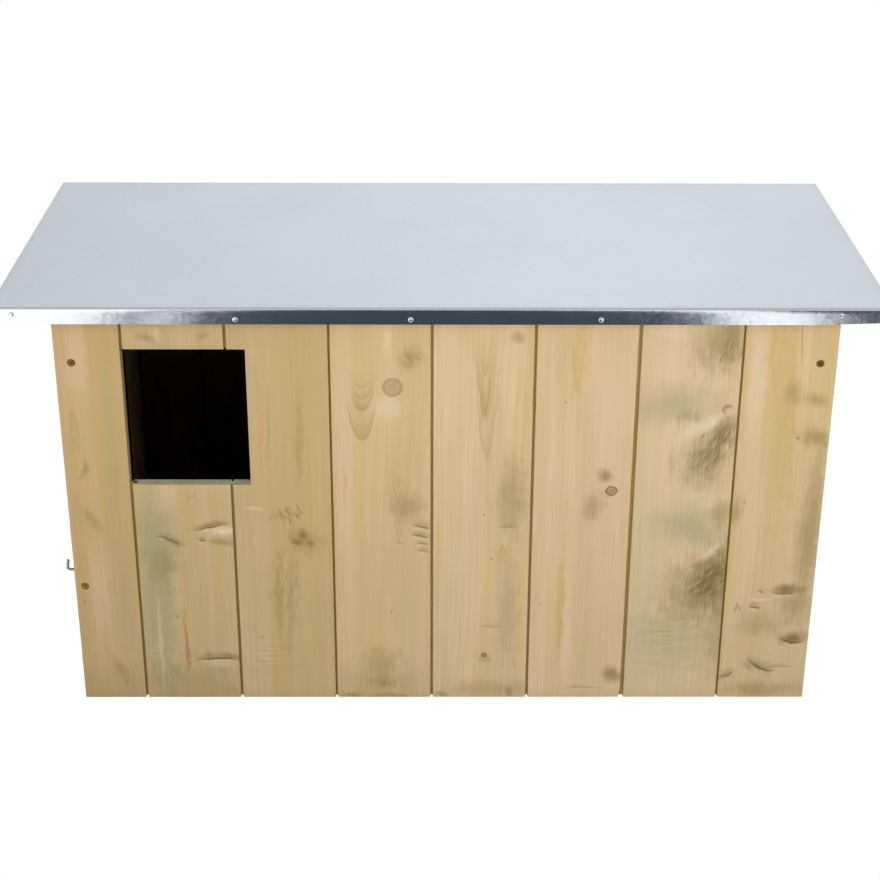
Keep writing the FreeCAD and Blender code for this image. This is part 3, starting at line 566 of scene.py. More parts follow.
# How each front board was sawn: heart across in millimetres, heart's depth, its change along the board,
# ring spacing, how plainly the rings show and the colour of its early wood.
FRONT_GRAIN = {
    "1": (-250, 30, 0.02, 6, 0.16, "c8aa7b"),
    "2_upper": (-480, 60, 0.03, 5, 0.2, "c6ae82"),
    "2_lower": (-480, 60, 0.03, 5, 0.24, "c7ae82"),
    "3": (-330, 50, 0.02, 6, 0.2, "c8ae7f"),
    "4": (60, 40, -0.03, 6, 0.2, "d4b98b"),
    "5": (190, 36, -0.03, 4.6, 0.24, "d8be93"),
    "6": (20, 40, 0.02, 6, 0.18, "d9bd94"),
    "7": (440, 40, 0.03, 5, 0.14, "dac29c"),
    "end": (240, 50, 0.02, 6, 0.16, "d6bb8f"),
}

# The ground that each form of mark lies on where it isn't the soft one, and how far a tear is bent.
GROUNDS = {"arch": "ring", "bowl": "ring", "tear": "torn", "crest": "torn", "cup": "torn", "hard": "hard",
           "knot": "hard"}
BENDS = {"tear": 0, "crest": 0.18, "cup": -0.28}


def chance_wood(draw, low, high, side, length, heart, depths, lean, tints):
    """Draws the grain of a board that is not seen in the picture, and a few knots, stains and nicks."""
    centre = (low[side] + high[side]) / 2 / MM
    grain = (centre + draw.uniform(-heart, heart), draw.uniform(*depths), draw.uniform(-lean, lean),
             draw.uniform(4.6, 6), 0.18, draw.choice(tints))
    marks = []
    for form, stain, count, wide, tall, strength in (
        ("soft", "rose", 2, 14, 90, 0.45),
        ("soft", "green", 1, 22, 120, 0.5),
        ("soft", "olive", 2, 20, 26, 0.5),
        ("soft", "olive", 2, 7, 70, 0.4),
        ("bowl", "olive", 1, 16, 60, 0.5),
        ("knot", "knot", 1, 6, 7, 0.9),
        ("soft", "pink", 2, 2.4, 30, 0.4),
        ("soft", "yellow", 1, 9, 80, 0.45),
        ("hard", "brown", 3, 1.4, 2, 0.6),
        ("feather", "moss", 2, 16, 14, 0.7),
        ("tear", "dark", 1, 12, 1.4, 0.6),
        ("planing", "pale", 1, 30, 26, 0.3),
    ):
        for _ in range(count):
            grow = draw.uniform(0.5, 1.5)
            turn = 18 if form == "bowl" else draw.uniform(-20, 20)
            spot = [(low[axis] + (high[axis] - low[axis]) * draw.uniform(margin, 1 - margin)) / MM
                    for axis, margin in ((side, 0.12), (length, 0.06))]
            marks.append((form, stain, *spot, wide * grow, tall * grow, turn, strength))
    return grain, marks


def line_coats(add, mark, spot):
    """Adds a mark made of lines: growth rings, or a tear with painted shade over it and a painted highlight
    on the lip under it.
    """
    form, stain, _, _, wide, tall, turn, strength = mark
    sides = add("SeparateXYZ", spot)
    across, up = sides.outputs["X"], sides.outputs["Z"]
    square = add("Math MULTIPLY", across, across)
    if form in BENDS:
        bent = add("Math MULTIPLY_ADD", square, BENDS[form] * wide / tall, up)
        # Painted shade over the tear, in the moss colour.
        above = add("MapRange SMOOTHSTEP", bent, -0.4, 0.6)
        over = add("Math MULTIPLY_ADD", square, 7, bent)
        shade = add("MapRange SMOOTHSTEP", over, 8, 0.5, 0, strength * 0.55)
        coats = [(add("Math MULTIPLY", above, shade), STAINS["moss"])]
        # A painted highlight on the lip under the tear, in the pale colour, then the tear's own line.
        for lift, thick, tint, share in ((2.2, 1.5, "pale", 0.35), (0, 1, stain, 0.9)):
            off = add("Math ABSOLUTE", add("Math ADD", bent, lift))
            level = add("Math MULTIPLY_ADD", off, 1 / thick, square)
            coats.append((add("MapRange SMOOTHSTEP", level, 1, 0.25, 0, strength * share), STAINS[tint]))
        return coats
    bow = add("Math POWER", square, 0.75 if form == "arch" else 1.3)
    rise = add("Math SUBTRACT", up, bow)
    saw = add("Math FRACT", add("Math MULTIPLY", rise, -abs(tall) / turn))
    line = add("Math MULTIPLY_ADD", add("Math POWER", saw, 3), 0.8, 0.2)
    inside = add("MapRange SMOOTHSTEP", rise, -0.03, 0.05, 0, strength)
    nearby = add("MapRange SMOOTHSTEP", up, 1.1, 0.3)
    shown = add("Math MULTIPLY", inside, nearby)
    return [(add("Math MULTIPLY", shown, line), STAINS[stain])]


def mark_coats(add, mark, uneven, fray):
    """Adds a mark, and gives its coats of stain, each with the share of the surface that it covers."""
    form, stain, x, z, wide, tall, turn, strength = mark
    tint = STAINS[stain]
    ground = GROUNDS.get(form, "soft")
    lay = ((x * MM, 0, z * MM), (0, 0 if ground == "ring" else math.radians(turn), 0))
    spot = add("Mapping", uneven[ground], *lay, (wide * MM, 1, tall * MM), vector_type="TEXTURE")
    if ground in ("ring", "torn"):
        return line_coats(add, mark, spot)
    reach = add("VectorMath LENGTH", spot)
    if form == "hard":
        return [(add("MapRange SMOOTHSTEP", reach, 1, 0.5, 0, strength), tint)]
    if form == "knot":
        # A small knot has a dark rim, a large one is grown in and has a faint one.
        ring = STAINS["ring"]
        rim = 0.9 if wide < 8 else 0.45
        ramp = add("ValToRGB", reach)
        stops = ramp.color_ramp.elements
        stops[0].color = (*tint, strength * 0.8)
        stops[1].color = (*ring, 0)
        for place, shade, tone, share in (
            (0.3, tint, 0.9, 0.8), (0.5, tint, 1.05, 0.8), (0.68, tint, 0.95, 0.85), (0.78, ring, 1, rim),
            (0.9, ring, 0.9, rim),
        ):
            stops.new(place).color = (*[c * tone for c in shade], strength * share)
        return [(ramp.outputs["Alpha"], ramp)]
    ragged = add("Math ADD", reach, fray)
    mask = add("MapRange SMOOTHSTEP", ragged, 1.3, 0.1, 0, strength)
    if form == "soft":
        return [(mask, tint)]
    # Torn strokes lie along the mark's upright and are about 1.8 mm wide, planer marks lie level.
    thick, long = (1.8, 16) if form == "feather" else (45, 1.6)
    comb = add("Mapping", uneven["hard"], *lay, (thick * MM, 1, long * MM), vector_type="TEXTURE")
    stroke = add("TexNoise", comb, 1, 1)
    heavy = add("MapRange SMOOTHSTEP", stroke, 0.5, 0.66)
    coats = [(add("Math MULTIPLY", mask, heavy), tint)]
    if form == "feather":
        light = add("MapRange SMOOTHSTEP", stroke, 0.47, 0.3, 0, 0.5)
        coats.insert(0, (add("Math MULTIPLY", mask, light), STAINS["pale"]))
    return coats


def planed_softwood(name, axes, seed, grain, marks, look, face=None):
    """Planed pressure-treated pine: matt, pale, with faint ring lines, fibre streaks, green tinge and knots.

    axes are the board's across, depth and along axes, and face is where its good face lies in depth. Ring
    lines are about 5 mm apart and fibres about 1.5 mm, so both just show in the picture.
    """
    heart, heart_depth, lean, spacing, contrast, early = grain
    early = linear(early)
    material, add = blank_material(name)
    source = add("TexCoord")
    split = add("SeparateXYZ", source.outputs["Object"])
    across, depth, along = (split.outputs[axis] for axis in axes)
    place = add("CombineXYZ", across, depth, along)
    flat = add("CombineXYZ", across, 0, along)
    shift = Vector((seed * 0.371, seed * 0.533, seed * 0.217))

    # Growth rings: distance from a heart that wanders along the board, bunched where the tree grew slowly.
    sway = -heart * MM
    for scale, reach in (((9, 9, 2), 0.036), ((48, 48, 1.2), 0.014)):
        slow = add("Mapping", place, shift, Scale=scale)
        sway = add("Math MULTIPLY_ADD", add("TexNoise", slow, 1, 2), reach, sway)
    fall = add("Math MULTIPLY_ADD", along, lean, heart_depth * MM)
    ring_place = add("CombineXYZ", add("Math ADD", across, sway), add("Math ADD", fall, depth))
    rings = add("TexWave", ring_place, WAVE_REPEAT / (spacing * MM), 1.2, 2, 0.4, Phase_Offset=seed,
                wave_type="RINGS", rings_direction="Z", wave_profile="SAW")
    late = add("Math POWER", rings.outputs["Fac"], 1.8)
    band = add("Mapping", place, shift, Scale=(26, 26, 2.5))
    shown = add("MapRange", add("TexNoise", band, 1, 1), 0.4, 0.66, 0.05, contrast * 2)
    ring_share = add("Math MULTIPLY", late, shown)
    colour = add("Mix RGBA", ring_share, early, toned(early, look.late_wood))

    # Streaks 8 to 40 mm wide, rosier, yellower and greener than the rest, and broad darker clouds.
    for turn, wide, drawn, edge, full, tone, most in (
        (2, 70, 26, 0.48, 0.66, (1.07, 1.02, 1.08), 0.9),
        (3, 120, 30, 0.50, 0.68, (0.94, 0.93, 0.86), 0.7),
        (5, 50, 26, 0.48, 0.68, (0.93, 0.89, 0.70), 0.8),
        (7, 24, 20, 0.48, 0.72, (0.84, 0.88, 0.78), 0.8),
        (11, 16, 3, 0.46, 0.70, (0.90, 0.90, 0.84), 0.7),
    ):
        line = add("Mapping", place, shift * turn, Scale=(wide, wide, wide / drawn))
        share = add("MapRange", add("TexNoise", line, 1, 3), edge, full, 0, most)
        colour = add("Mix RGBA", share, colour, toned(early, tone))

    # Fibres: fine lines along the board.
    line = add("Mapping", place, shift, Scale=(520, 520, 14))
    fibres = add("TexNoise", line, 1, 4, 0.6)
    share = add("MapRange", fibres, 0.42, 0.75, 0, 0.32)
    colour = add("Mix RGBA", share, colour, toned(early, (0.76, 0.70, 0.60)))

    # Marks sit on coordinates with a little unevenness, so that no mark is a clean ellipse.
    uneven = {}
    for ground, size, reach, detail in (
        ("soft", 30, 14, 4), ("hard", 5, 1.8, 4), ("torn", 16, 9, 4), ("ring", 40, 9, 1),
    ):
        noise = add("TexNoise", flat, 1 / (size * MM), detail)
        centred = add("VectorMath SUBTRACT", noise.outputs["Color"], (0.5, 0.5, 0.5))
        uneven[ground] = add("VectorMath MULTIPLY_ADD", centred, (reach * MM, 0, reach * MM), flat)

    # Stains fray along the fibres, about 3 mm wide, and are cloudy inside.
    drawn = add("Mapping", flat, Scale=(1 / (3 * MM), 1, 1 / (26 * MM)))
    cloudy = add("TexNoise", flat, 1 / (15 * MM), 5)
    both = add("Math ADD", add("TexNoise", drawn, 1, 3), cloudy)
    fray = add("Math MULTIPLY_ADD", both, 0.9, -0.9)
    torn = None
    for mark in marks:
        for share, tint in mark_coats(add, mark, uneven, fray):
            colour = add("Mix RGBA", share, colour, tint)
        if mark[0] in BENDS:
            torn = share if torn is None else add("Math MAXIMUM", torn, share)

    # Painted shade in the joints: boards are darker a little below the face, where the joints lie in shade,
    # and darker boards more so. The two sides at the corners of the box lie in no joint.
    if face is not None:
        below = add("Math ABSOLUTE", add("Math SUBTRACT", depth, face))
        off = add("Math ABSOLUTE", add("Math SUBTRACT", below, 4.5 * MM))
        share = add("MapRange SMOOTHSTEP", off, 4.3 * MM, 2.9 * MM, 0, 0.8)
        hidden = add("Math LESS_THAN", add("Math ABSOLUTE", across), BOX_WIDTH / 2 - MM)
        painted_joint_shade = [c * e / p for c, e, p in zip(STAINS["painted_joint_shade"], early, linear(PALE_BOARD))]
        colour = add("Mix RGBA", add("Math MULTIPLY", share, hidden), colour, painted_joint_shade)

    # Sawn ends are greyer than the faces.
    facing = add("SeparateXYZ", source.outputs["Normal"])
    end_on = add("Math ABSOLUTE", facing.outputs[axes[2]])
    share = add("MapRange", end_on, 0.75, 0.95, 0, 0.4 if face is None else 0.8)
    tone = add("MapRange", cloudy, 0.3, 0.7, 0.75, 1.15)
    colour = add("Mix RGBA", share, colour, add("VectorMath SCALE", look.end_grain, tone))

    # Bump: raised late wood, fibres and sunk tears.
    height = add("Math MULTIPLY_ADD", ring_share, 0.5, fibres)
    if torn is not None:
        height = add("Math MULTIPLY_ADD", torn, -2, height)
    bump = add("Bump", Strength=0.35, Distance=0.4 * MM, Height=height)
    rough = add("MapRange", fibres, 0, 1, 0.55, 0.78)
    add("OutputMaterial", add("BsdfPrincipled", colour, IOR=1.45, Roughness=rough, Normal=bump))
    return material


def galvanised_sheet(name, base, roughness):
    """New galvanised sheet: a satin, slightly blue grey metal with faint spangle and dull clouds."""
    material, add = blank_material(name)
    place = add("TexCoord").outputs["Object"]
    # Spangle grains are about 4 mm across, and the rollers leave dull clouds about 120 mm across.
    spangle = add("TexVoronoi", place, 1 / (4 * MM)).outputs["Color"]
    grain = add("SeparateColor", spangle)
    cloud = add("TexNoise", place, 1 / (120 * MM), 2)
    tone = add("MapRange", grain.outputs[0], 0, 1, 0.99, 1.01)
    cloudy = add("MapRange", cloud, 0.3, 0.7, 0.98, 1.02)
    colour = add("VectorMath SCALE", base, add("Math MULTIPLY", tone, cloudy))
    rough = add("MapRange", grain.outputs[1], 0, 1, roughness - 0.02, roughness + 0.02)
    # Each grain lies at a slightly different tilt and so catches the light differently.
    tilt = add("VectorMath MULTIPLY_ADD", spangle, (0.012, 0.012, 0.012), (-0.006, -0.006, -0.006))
    ripple = add("TexNoise", place, 1 / (60 * MM), 1)
    bump = add("Bump", Strength=0.08, Distance=2 * MM, Height=ripple)
    normal = add("VectorMath NORMALIZE", add("VectorMath ADD", bump, tilt))
    add("OutputMaterial", add("BsdfPrincipled", colour, Metallic=1, Roughness=rough, Normal=normal))
    return material


def plated_steel(name, base, roughness, tarnish, share):
    """Plated steel: a grey metal whose plating is dulled in patches, about 3 mm across."""
    material, add = blank_material(name)
    place = add("TexCoord").outputs["Object"]
    patches = add("TexNoise", place, 1 / (3 * MM), 4)
    dull = add("MapRange", patches, 0.42, 0.7, 0, share)
    colour = add("Mix RGBA", dull, base, tarnish)
    rough = add("MapRange", patches, 0, 1, roughness - 0.08, roughness + 0.12)
    bump = add("Bump", Strength=0.1, Distance=0.1 * MM, Height=patches)
    add("OutputMaterial", add("BsdfPrincipled", colour, Metallic=1, Roughness=rough, Normal=bump))
    return material


def plank(name, face, length, grooved, tongued, seed, look):
    """Models a planed board standing on its end at the origin, its good face to the front."""
    board = start_cube(name, (0, 0, 0), (face, WALL, length))
    groove = (TONGUE_FRONT - TONGUE_PLAY, TONGUE_BACK + TONGUE_PLAY)

    def on_side(side, first, last):
        return lambda f: f.normal.x * side > 0.9 and first < f.calc_center_median().y < last

    def upright(edge):
        return span(edge, 2) > length / 2

    def from_side(vert):
        return min(abs(vert.co.x), abs(vert.co.x - face))

    def at_face(edge):
        vert = edge.verts[0]
        return upright(edge) and from_side(vert) < NEAR and min(vert.co.y, WALL - vert.co.y) < NEAR

    def on_arris(vert):
        inside = 10 * NEAR < vert.co.z < length - 10 * NEAR
        return inside and max(vert.co.y, from_side(vert)) < look.arris + NEAR

    with editing(board):
        for depth in (groove[0], TONGUE_FRONT, TONGUE_BACK, groove[1]):
            bpy.ops.mesh.select_all(action="SELECT")
            bpy.ops.mesh.bisect(plane_co=(0, depth, 0), plane_no=(0, 1, 0))
        if grooved:
            pick("FACE", on_side(-1, *groove))
            extrude(TONGUE, 0, 0)
        if tongued:
            pick("FACE", on_side(1, TONGUE_FRONT, TONGUE_BACK))
            extrude(TONGUE, 0, 0)
        pick("EDGE", at_face)
        round_over(look.arris, 3)
        pick("EDGE", upright)
        bpy.ops.mesh.subdivide(number_cuts=max(4, int(length / look.wander_pitch)))
        pick("VERT", on_arris)
        bpy.ops.transform.vertex_random(offset=look.edge_wander, seed=seed)
    apply_modifier(board, "BEVEL", width=END_ROUNDING, segments=2, limit_method="ANGLE",
                   angle_limit=math.radians(50), use_clamp_overlap=True)
    return board


def trim_top(board, drop):
    """Cuts the top of a board off parallel to the roof."""
    with editing(board):
        bpy.ops.mesh.select_all(action="SELECT")
        bpy.ops.mesh.bisect(
            plane_co=(0, FRONT_FACE, FRONT_HEIGHT - drop),
            plane_no=(0, -math.sin(ROOF_PITCH), math.cos(ROOF_PITCH)),
            use_fill=True, clear_outer=True,
        )


def saw_entrance(board, left, seed):
    """Saws the entrance out of a board, from a given left side on, with uneven edges."""
    low = Vector((left, FRONT_FACE - WALL, ENTRANCE_LOW.z))
    high = Vector((ENTRANCE_HIGH.x, FRONT_FACE + 2 * WALL, ENTRANCE_HIGH.z))
    block = start_cube("entrance_block", low, high)
    with editing(block):
        pick("EDGE", lambda e: span(e, 0) > WALL)
        bpy.ops.mesh.subdivide(number_cuts=40)
        pick("VERT", lambda v: low.x + 10 * NEAR < v.co.x < high.x - 10 * NEAR)
        bpy.ops.transform.vertex_random(offset=SAW_WANDER, seed=seed)
    cut_away(board, block)


def chip_corner(board, corner):
    """Breaks a splinter out of a board's front edge at its foot, inwards from its right corner."""
    low = corner - Vector((SPLINTER_WIDE, MM, MM))
    high = corner + Vector((SPLINTER_WIDE, TONGUE_FRONT, SPLINTER_TALL))
    splinter = start_cube("splinter", low, high)
    with editing(splinter):
        pick("EDGE", lambda e: min(v.co.z for v in e.verts) > low.z + SPLINTER_TALL / 2
             and max(v.co.x for v in e.verts) < corner.x - SPLINTER_WIDE / 2)
        bpy.ops.transform.translate(value=(0.6 * SPLINTER_WIDE, 0, -0.1 * SPLINTER_TALL))
    cut_away(board, splinter)


def drill(board, spot, way, radius, depth):
    """Drills a round hole into a board."""
    foot = Vector(spot) - Vector(way) * MM
    cut_away(board, start_cylinder("drill", foot, way, radius, depth + MM, 32))


# The body that each wall is on, the turn of its boards in degrees, their across, depth and along axes, and
# whether the foot that they are set by is at the right and at the back of the solid.
WALLS = {
    "front": ("box", 0, "XYZ", False, False),
    "back": ("box", 180, "XYZ", True, True),
    "right": ("box", 90, "YXZ", True, False),
    "door": ("door", -90, "YXZ", False, True),
}


def wall_board(wall, part, seed, look, grain, marks):
    """Makes a wall's board in the place of its solid, trimmed to the roof, with its cuts and holes."""
    body, turn, axes, right, back = WALLS[wall]
    node = "%s_board_%s" % (wall, part)
    low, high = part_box(node)
    side, depth = ("XYZ".index(axis) for axis in axes[:2])
    foot = Vector((high.x if right else low.x, high.y if back else low.y, low.z))
    tongued = part != "end"
    face = high[side] - low[side] - (TONGUE if tongued else 0)
    board = plank("%s_plank_%s" % (wall, part), face, high.z - low.z, part != "1", tongued, seed, look)
    settle(board, Matrix.Rotation(math.radians(turn), 3, "Z"), foot)
    if part != "2_lower":
        trim_top(board, DOOR_HEAD_GAP if wall == "door" else 0)
    if wall == "front" and part in ("1", "3"):
        saw_entrance(board, low.x + face if part == "1" else ENTRANCE_LOW.x, seed)
    if wall == "front" and part == "6":
        chip_corner(board, low + Vector((face, 0, 0)))
    for spot, way in fixing_places("corner_screws"):
        if all(low[axis] - MM < spot[axis] < high[axis] + MM for axis in range(3)):
            drill(board, spot, way, SCREW_HOLE, SCREW_HOLE_DEEP)
    for rail in ("rail_back_low", "rail_back_high") if wall == "back" else ():
        for x in (-FIXING_SPAN / 2, FIXING_SPAN / 2):
            if low.x - FIXING_HOLE < x < high.x + FIXING_HOLE:
                spot = (x, -FRONT_FACE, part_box(rail)[0].z + RAIL_HIGH / 2)
                drill(board, spot, (0, -1, 0), FIXING_HOLE / 2, WALL + MM)
    smooth(board)
    name = "planed pine %s %s" % (wall, part)
    material = planed_softwood(name, axes, seed, grain, marks, look, foot[depth])
    hand_over(board, body, material, node)


def cross_screw(name, head, shank, length):
    """Models a countersunk screw with a cross recess, its head's top at the origin, pointing down."""
    sink = (head - shank) / 2
    screw = start_cylinder(name, (0, 0, 0), (0, 0, -1), head / 2, sink, 24)
    with editing(screw):
        pick("FACE", lambda f: f.normal.z < -0.9)
        bpy.ops.transform.resize(value=(shank / head, shank / head, 1), center_override=(0, 0, -sink))
        extrude(0, 0, sink - length * 0.85)
        extrude(0, 0, -length * 0.15)
        bpy.ops.transform.resize(value=(0.15, 0.15, 1), center_override=(0, 0, -length))
        pick("FACE", lambda f: f.normal.z > 0.9)
        round_over(0.05 * head, 2)
    for wide, long in ((0.1, 0.56), (0.56, 0.1)):
        corner = Vector((wide * head / 2, long * head / 2, 0))
        floor = Vector((0, 0, -0.28 * head))
        slot = start_cube("recess", floor - corner, corner + Vector((0, 0, MM)))
        with editing(slot):
            pick("FACE", lambda f: f.normal.z < -0.9)
            bpy.ops.transform.resize(value=(0.55, 0.55, 1), center_override=floor)
        cut_away(screw, slot)
    smooth(screw, 30)
    return screw


class NestBoxWood(bpy.types.PropertyGroup):
    """Sizes and colours of the boards."""

    arris: FloatProperty(
        name="Arris", description="Rounding along the long edges of a board", default=1.5 * MM, unit="LENGTH")
    edge_wander: FloatProperty(
        name="Edge wander", description="How far a board's edge strays from a straight line",
        default=0.22 * MM, unit="LENGTH")
    wander_pitch: FloatProperty(
        name="Wander pitch", description="Length of edge between two strays", default=14 * MM, unit="LENGTH")
    late_wood: FloatVectorProperty(
        name="Late wood", description="Late wood's share of the early wood's colour",
        default=(0.80, 0.73, 0.60), subtype="COLOR")
    end_grain: FloatVectorProperty(
        name="End grain", description="Colour of sawn ends", default=linear("bfbc98"), subtype="COLOR")


class NestBoxMetal(bpy.types.PropertyGroup):
    """Colours and finish of the sheet and the fixings."""

    sheet: FloatVectorProperty(
        name="Sheet", description="Colour of the galvanised roof sheet", default=linear("e3e8ec"),
        subtype="COLOR")
    sheet_roughness: FloatProperty(
        name="Sheet roughness", description="How satin the roof sheet is", default=0.15, subtype="FACTOR")
    nail: FloatVectorProperty(
        name="Nail", description="Colour of the roof nails", default=linear("eef1f3"), subtype="COLOR")
    zinc: FloatVectorProperty(
        name="Zinc", description="Colour of hinges and bright screws", default=linear("cfd0cb"),
        subtype="COLOR")
    dark_screw: FloatVectorProperty(
        name="Dark screw", description="Colour of the browned screws at the corners",
        default=linear("92724a"), subtype="COLOR")
    hook: FloatVectorProperty(
        name="Hook", description="Colour of the wire hook", default=linear("b5b0a4"), subtype="COLOR")


class NestBoxStudio(bpy.types.PropertyGroup):
    """Light, floor and camera."""

    floor: FloatVectorProperty(
        name="Floor", description="Colour of the floor", default=linear("ffffff"), subtype="COLOR")
    floor_mirrored: FloatProperty(
        name="Floor in the metal", description="How bright the floor is where metal mirrors it", default=1.3)
    floor_bounce: FloatProperty(
        name="Floor bounce", description="How much light the floor throws up on the wood", default=0.43)
    sky: FloatVectorProperty(
        name="Surround", description="Colour of the light all round", default=linear("eef3f8"),
        subtype="COLOR")
    sky_strength: FloatProperty(
        name="Surround strength", description="Strength of the light all round", default=0.62)
    key_power: FloatProperty(
        name="Front light", description="Power of the front strip light", default=8, unit="POWER")
    fill_power: FloatProperty(
        name="Fill light", description="Power of each strip light at the back and sides", default=5,
        unit="POWER")
    back_power: FloatProperty(
        name="Back light", description="Power of the panel that the roof mirrors", default=1.65, unit="POWER")
    lens: FloatProperty(
        name="Lens", description="Focal length of the camera", default=69.6127, unit="CAMERA")


class FrontBoards(bpy.types.Operator):
    """Models the nine planed boards of the front wall, with the entrance sawn through them"""

    bl_idname = "nest_box.front_boards"
    bl_label = "Front boards"

    def execute(self, context):
        look = context.scene.nest_box_wood
        for seed, part in enumerate(FRONT_GRAIN, 1):
            wall_board("front", part, seed, look, FRONT_GRAIN[part], FRONT_MARKS[part])
        return {"FINISHED"}


class OtherWalls(bpy.types.Operator):
    """Models the planed boards of the back, the right side and the door"""

    bl_idname = "nest_box.other_walls"
    bl_label = "Back, side and door boards"

    def execute(self, context):
        look = context.scene.nest_box_wood
        draw = random.Random(11)
        tints = ("c8ad7f", "d0b586", "ccb488", "c4a978")
        seed = 20
        for wall, side, parts in (
            ("back", 0, ("1", "2", "3", "4", "5", "6", "7", "end")),
            ("right", 1, ("1", "2", "end")),
            ("door", 1, ("1", "2", "end")),
        ):
            for part in parts:
                seed += 1
                low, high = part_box("%s_board_%s" % (wall, part))
                grain, marks = chance_wood(draw, low, high, side, 2, 160, (25, 60), 0.05, tints)
                wall_board(wall, part, seed, look, grain, marks)
        return {"FINISHED"}


class Framing(bpy.types.Operator):
    """Gives posts, rails, ledges, floor and roof deck their wood"""

    bl_idname = "nest_box.framing"
    bl_label = "Posts, rails, floor and deck"

    def execute(self, context):
        look = context.scene.nest_box_wood
        draw = random.Random(5)
        seed = 50
        for node in sorted(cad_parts):
            framed = node.startswith(("post_", "rail_", "floor_", "deck_", "door_ledge", "door_head"))
            if not framed or node.endswith("screws"):
                continue
            seed += 1
            low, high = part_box(node)
            size = high - low
            thin, side, length = sorted(range(3), key=lambda axis: size[axis])
            axes = "".join("XYZ"[axis] for axis in (side, thin, length))
            grain, marks = chance_wood(draw, low, high, side, length, 80, (30, 80), 0.04,
                                       ("c8ad7f", "c4a978", "ccb488"))
            dress(node, planed_softwood("planed pine " + node, axes, seed, grain, marks[:6], look))
        return {"FINISHED"}


class RoofSheet(bpy.types.Operator):
    """Models the steel sheet folded down over the deck"""

    bl_idname = "nest_box.roof_sheet"
    bl_label = "Roof sheet"

    def execute(self, context):
        look = context.scene.nest_box_metal
        low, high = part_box("roof_sheet")
        width = high.x - low.x
        run = (high.y - ROOF_CORNER.y) / math.cos(ROOF_PITCH)
        sheet = start_cube("folded_sheet", (0, 0, -LIP_DROP), (width, run, DECK_TOP))
        with editing(sheet):
            pick("FACE", lambda f: f.normal.z < -0.9)
            bpy.ops.mesh.delete(type="FACE")
            pick("EDGE", lambda e: max(v.co.z for v in e.verts) > DECK_TOP / 2)
            round_over(FOLD_RADIUS, 5)
            pick("VERT", lambda v: v.co.z < 0 and v.co.y > run - 2 * FOLD_RADIUS)
            bpy.ops.transform.translate(value=(0, 0, LIP_DROP))
            for axis, reach, cuts in ((0, width, 92), (1, run, 40), (2, DECK_TOP, 3)):
                pick("EDGE", lambda e: span(e, axis) > reach / 2)
                bpy.ops.mesh.subdivide(number_cuts=cuts)
            # The front lip's lower edge rises in small steps towards its right end.
            for step in range(LIP_STEPS, 0, -1):
                from_here = width - step * LIP_STEP
                pick("VERT", lambda v: v.co.y < FOLD_RADIUS and v.co.z < 0 and v.co.x > from_here)
                bpy.ops.transform.translate(value=(0, 0, 0.12 * LIP_DROP))
        apply_modifier(sheet, "SOLIDIFY", thickness=SHEET_GAUGE, offset=-1)
        settle(sheet, Matrix.Rotation(ROOF_PITCH, 3, "X"), ROOF_CORNER)
        smooth(sheet)
        material = galvanised_sheet("galvanised steel sheet", look.sheet, look.sheet_roughness)
        hand_over(sheet, "box", material, "roof_sheet")
        return {"FINISHED"}


class RoofNails(bpy.types.Operator):
    """Models one nail and sets a copy at each place along the lips of the roof"""

    bl_idname = "nest_box.roof_nails"
    bl_label = "Roof nails"

    def execute(self, context):
        look = context.scene.nest_box_metal
        nail = start_cylinder("nail", (0, 0, 0), (0, 0, -1), NAIL_HEAD / 2, NAIL_HEAD_HIGH, 24)
        with editing(nail):
            pick("FACE", lambda f: f.normal.z < -0.9)
            bpy.ops.mesh.inset(thickness=(NAIL_HEAD - NAIL_SHANK) / 2)
            extrude(0, 0, NAIL_POINT - NAIL_LENGTH)
            extrude(0, 0, -NAIL_POINT)
            bpy.ops.transform.resize(value=(0.1, 0.1, 1), center_override=(0, 0, -NAIL_LENGTH))
            pick("EDGE", lambda e: min(v.co.z for v in e.verts) > -NEAR)
            round_over(0.85 * NAIL_HEAD_HIGH, 4)
            pick("FACE", lambda f: f.normal.z > 0.99)
            for shrink in (0.3, 0.4):
                bpy.ops.mesh.inset(thickness=shrink * NAIL_HEAD / 2)
                bpy.ops.transform.translate(value=(0, 0, 0.15 * NAIL_HEAD_HIGH))
        smooth(nail, 60)
        nails = scatter("lip_nails", nail, fixing_places("roof_nails"))
        material = plated_steel("galvanised nail", look.nail, 0.2, linear("c9cccd"), 0.5)
        hand_over(nails, "box", material, "roof_nails")
        return {"FINISHED"}


class Screws(bpy.types.Operator):
    """Models the countersunk screws with their cross recesses"""

    bl_idname = "nest_box.screws"
    bl_label = "Screws"

    def execute(self, context):
        look = context.scene.nest_box_metal
        browned = plated_steel("browned steel", look.dark_screw, 0.45, linear("4a3320"), 0.8)
        plated = plated_steel("zinc plated screw", look.zinc, 0.32, linear("a8a59a"), 0.6)
        for name, node, body, head, shank, length in (
            ("dark_screws", "corner_screws", "box", SCREW_HEAD, SCREW_SHANK, 25.6 * MM),
            ("rail_fixings", "rail_screws", "box", SCREW_HEAD, SCREW_SHANK, 29.6 * MM),
            ("ledge_fixings", "ledge_screws", "door", SCREW_HEAD, SCREW_SHANK, 29.6 * MM),
            ("floor_fixings", "floor_screws", "box", SCREW_HEAD, SCREW_SHANK, 24.6 * MM),
            ("deck_fixings", "deck_screws", "box", SCREW_HEAD, SCREW_SHANK, 24.6 * MM),
            ("post_leaf_screws", "hinge_screws_post", "box", LEAF_SCREW_HEAD, LEAF_SCREW_SHANK, 11.8 * MM),
            ("door_leaf_screws", "hinge_screws_door", "door", LEAF_SCREW_HEAD, LEAF_SCREW_SHANK, 11.8 * MM),
        ):
            dark = name == "dark_screws"
            model = cross_screw("screw", head, shank, length)
            sunk = SCREW_SINK if dark else 0
            screws = scatter(name, model, [(spot + way * sunk, way) for spot, way in fixing_places(node)])
            hand_over(screws, body, browned if dark else plated, node)
        return {"FINISHED"}


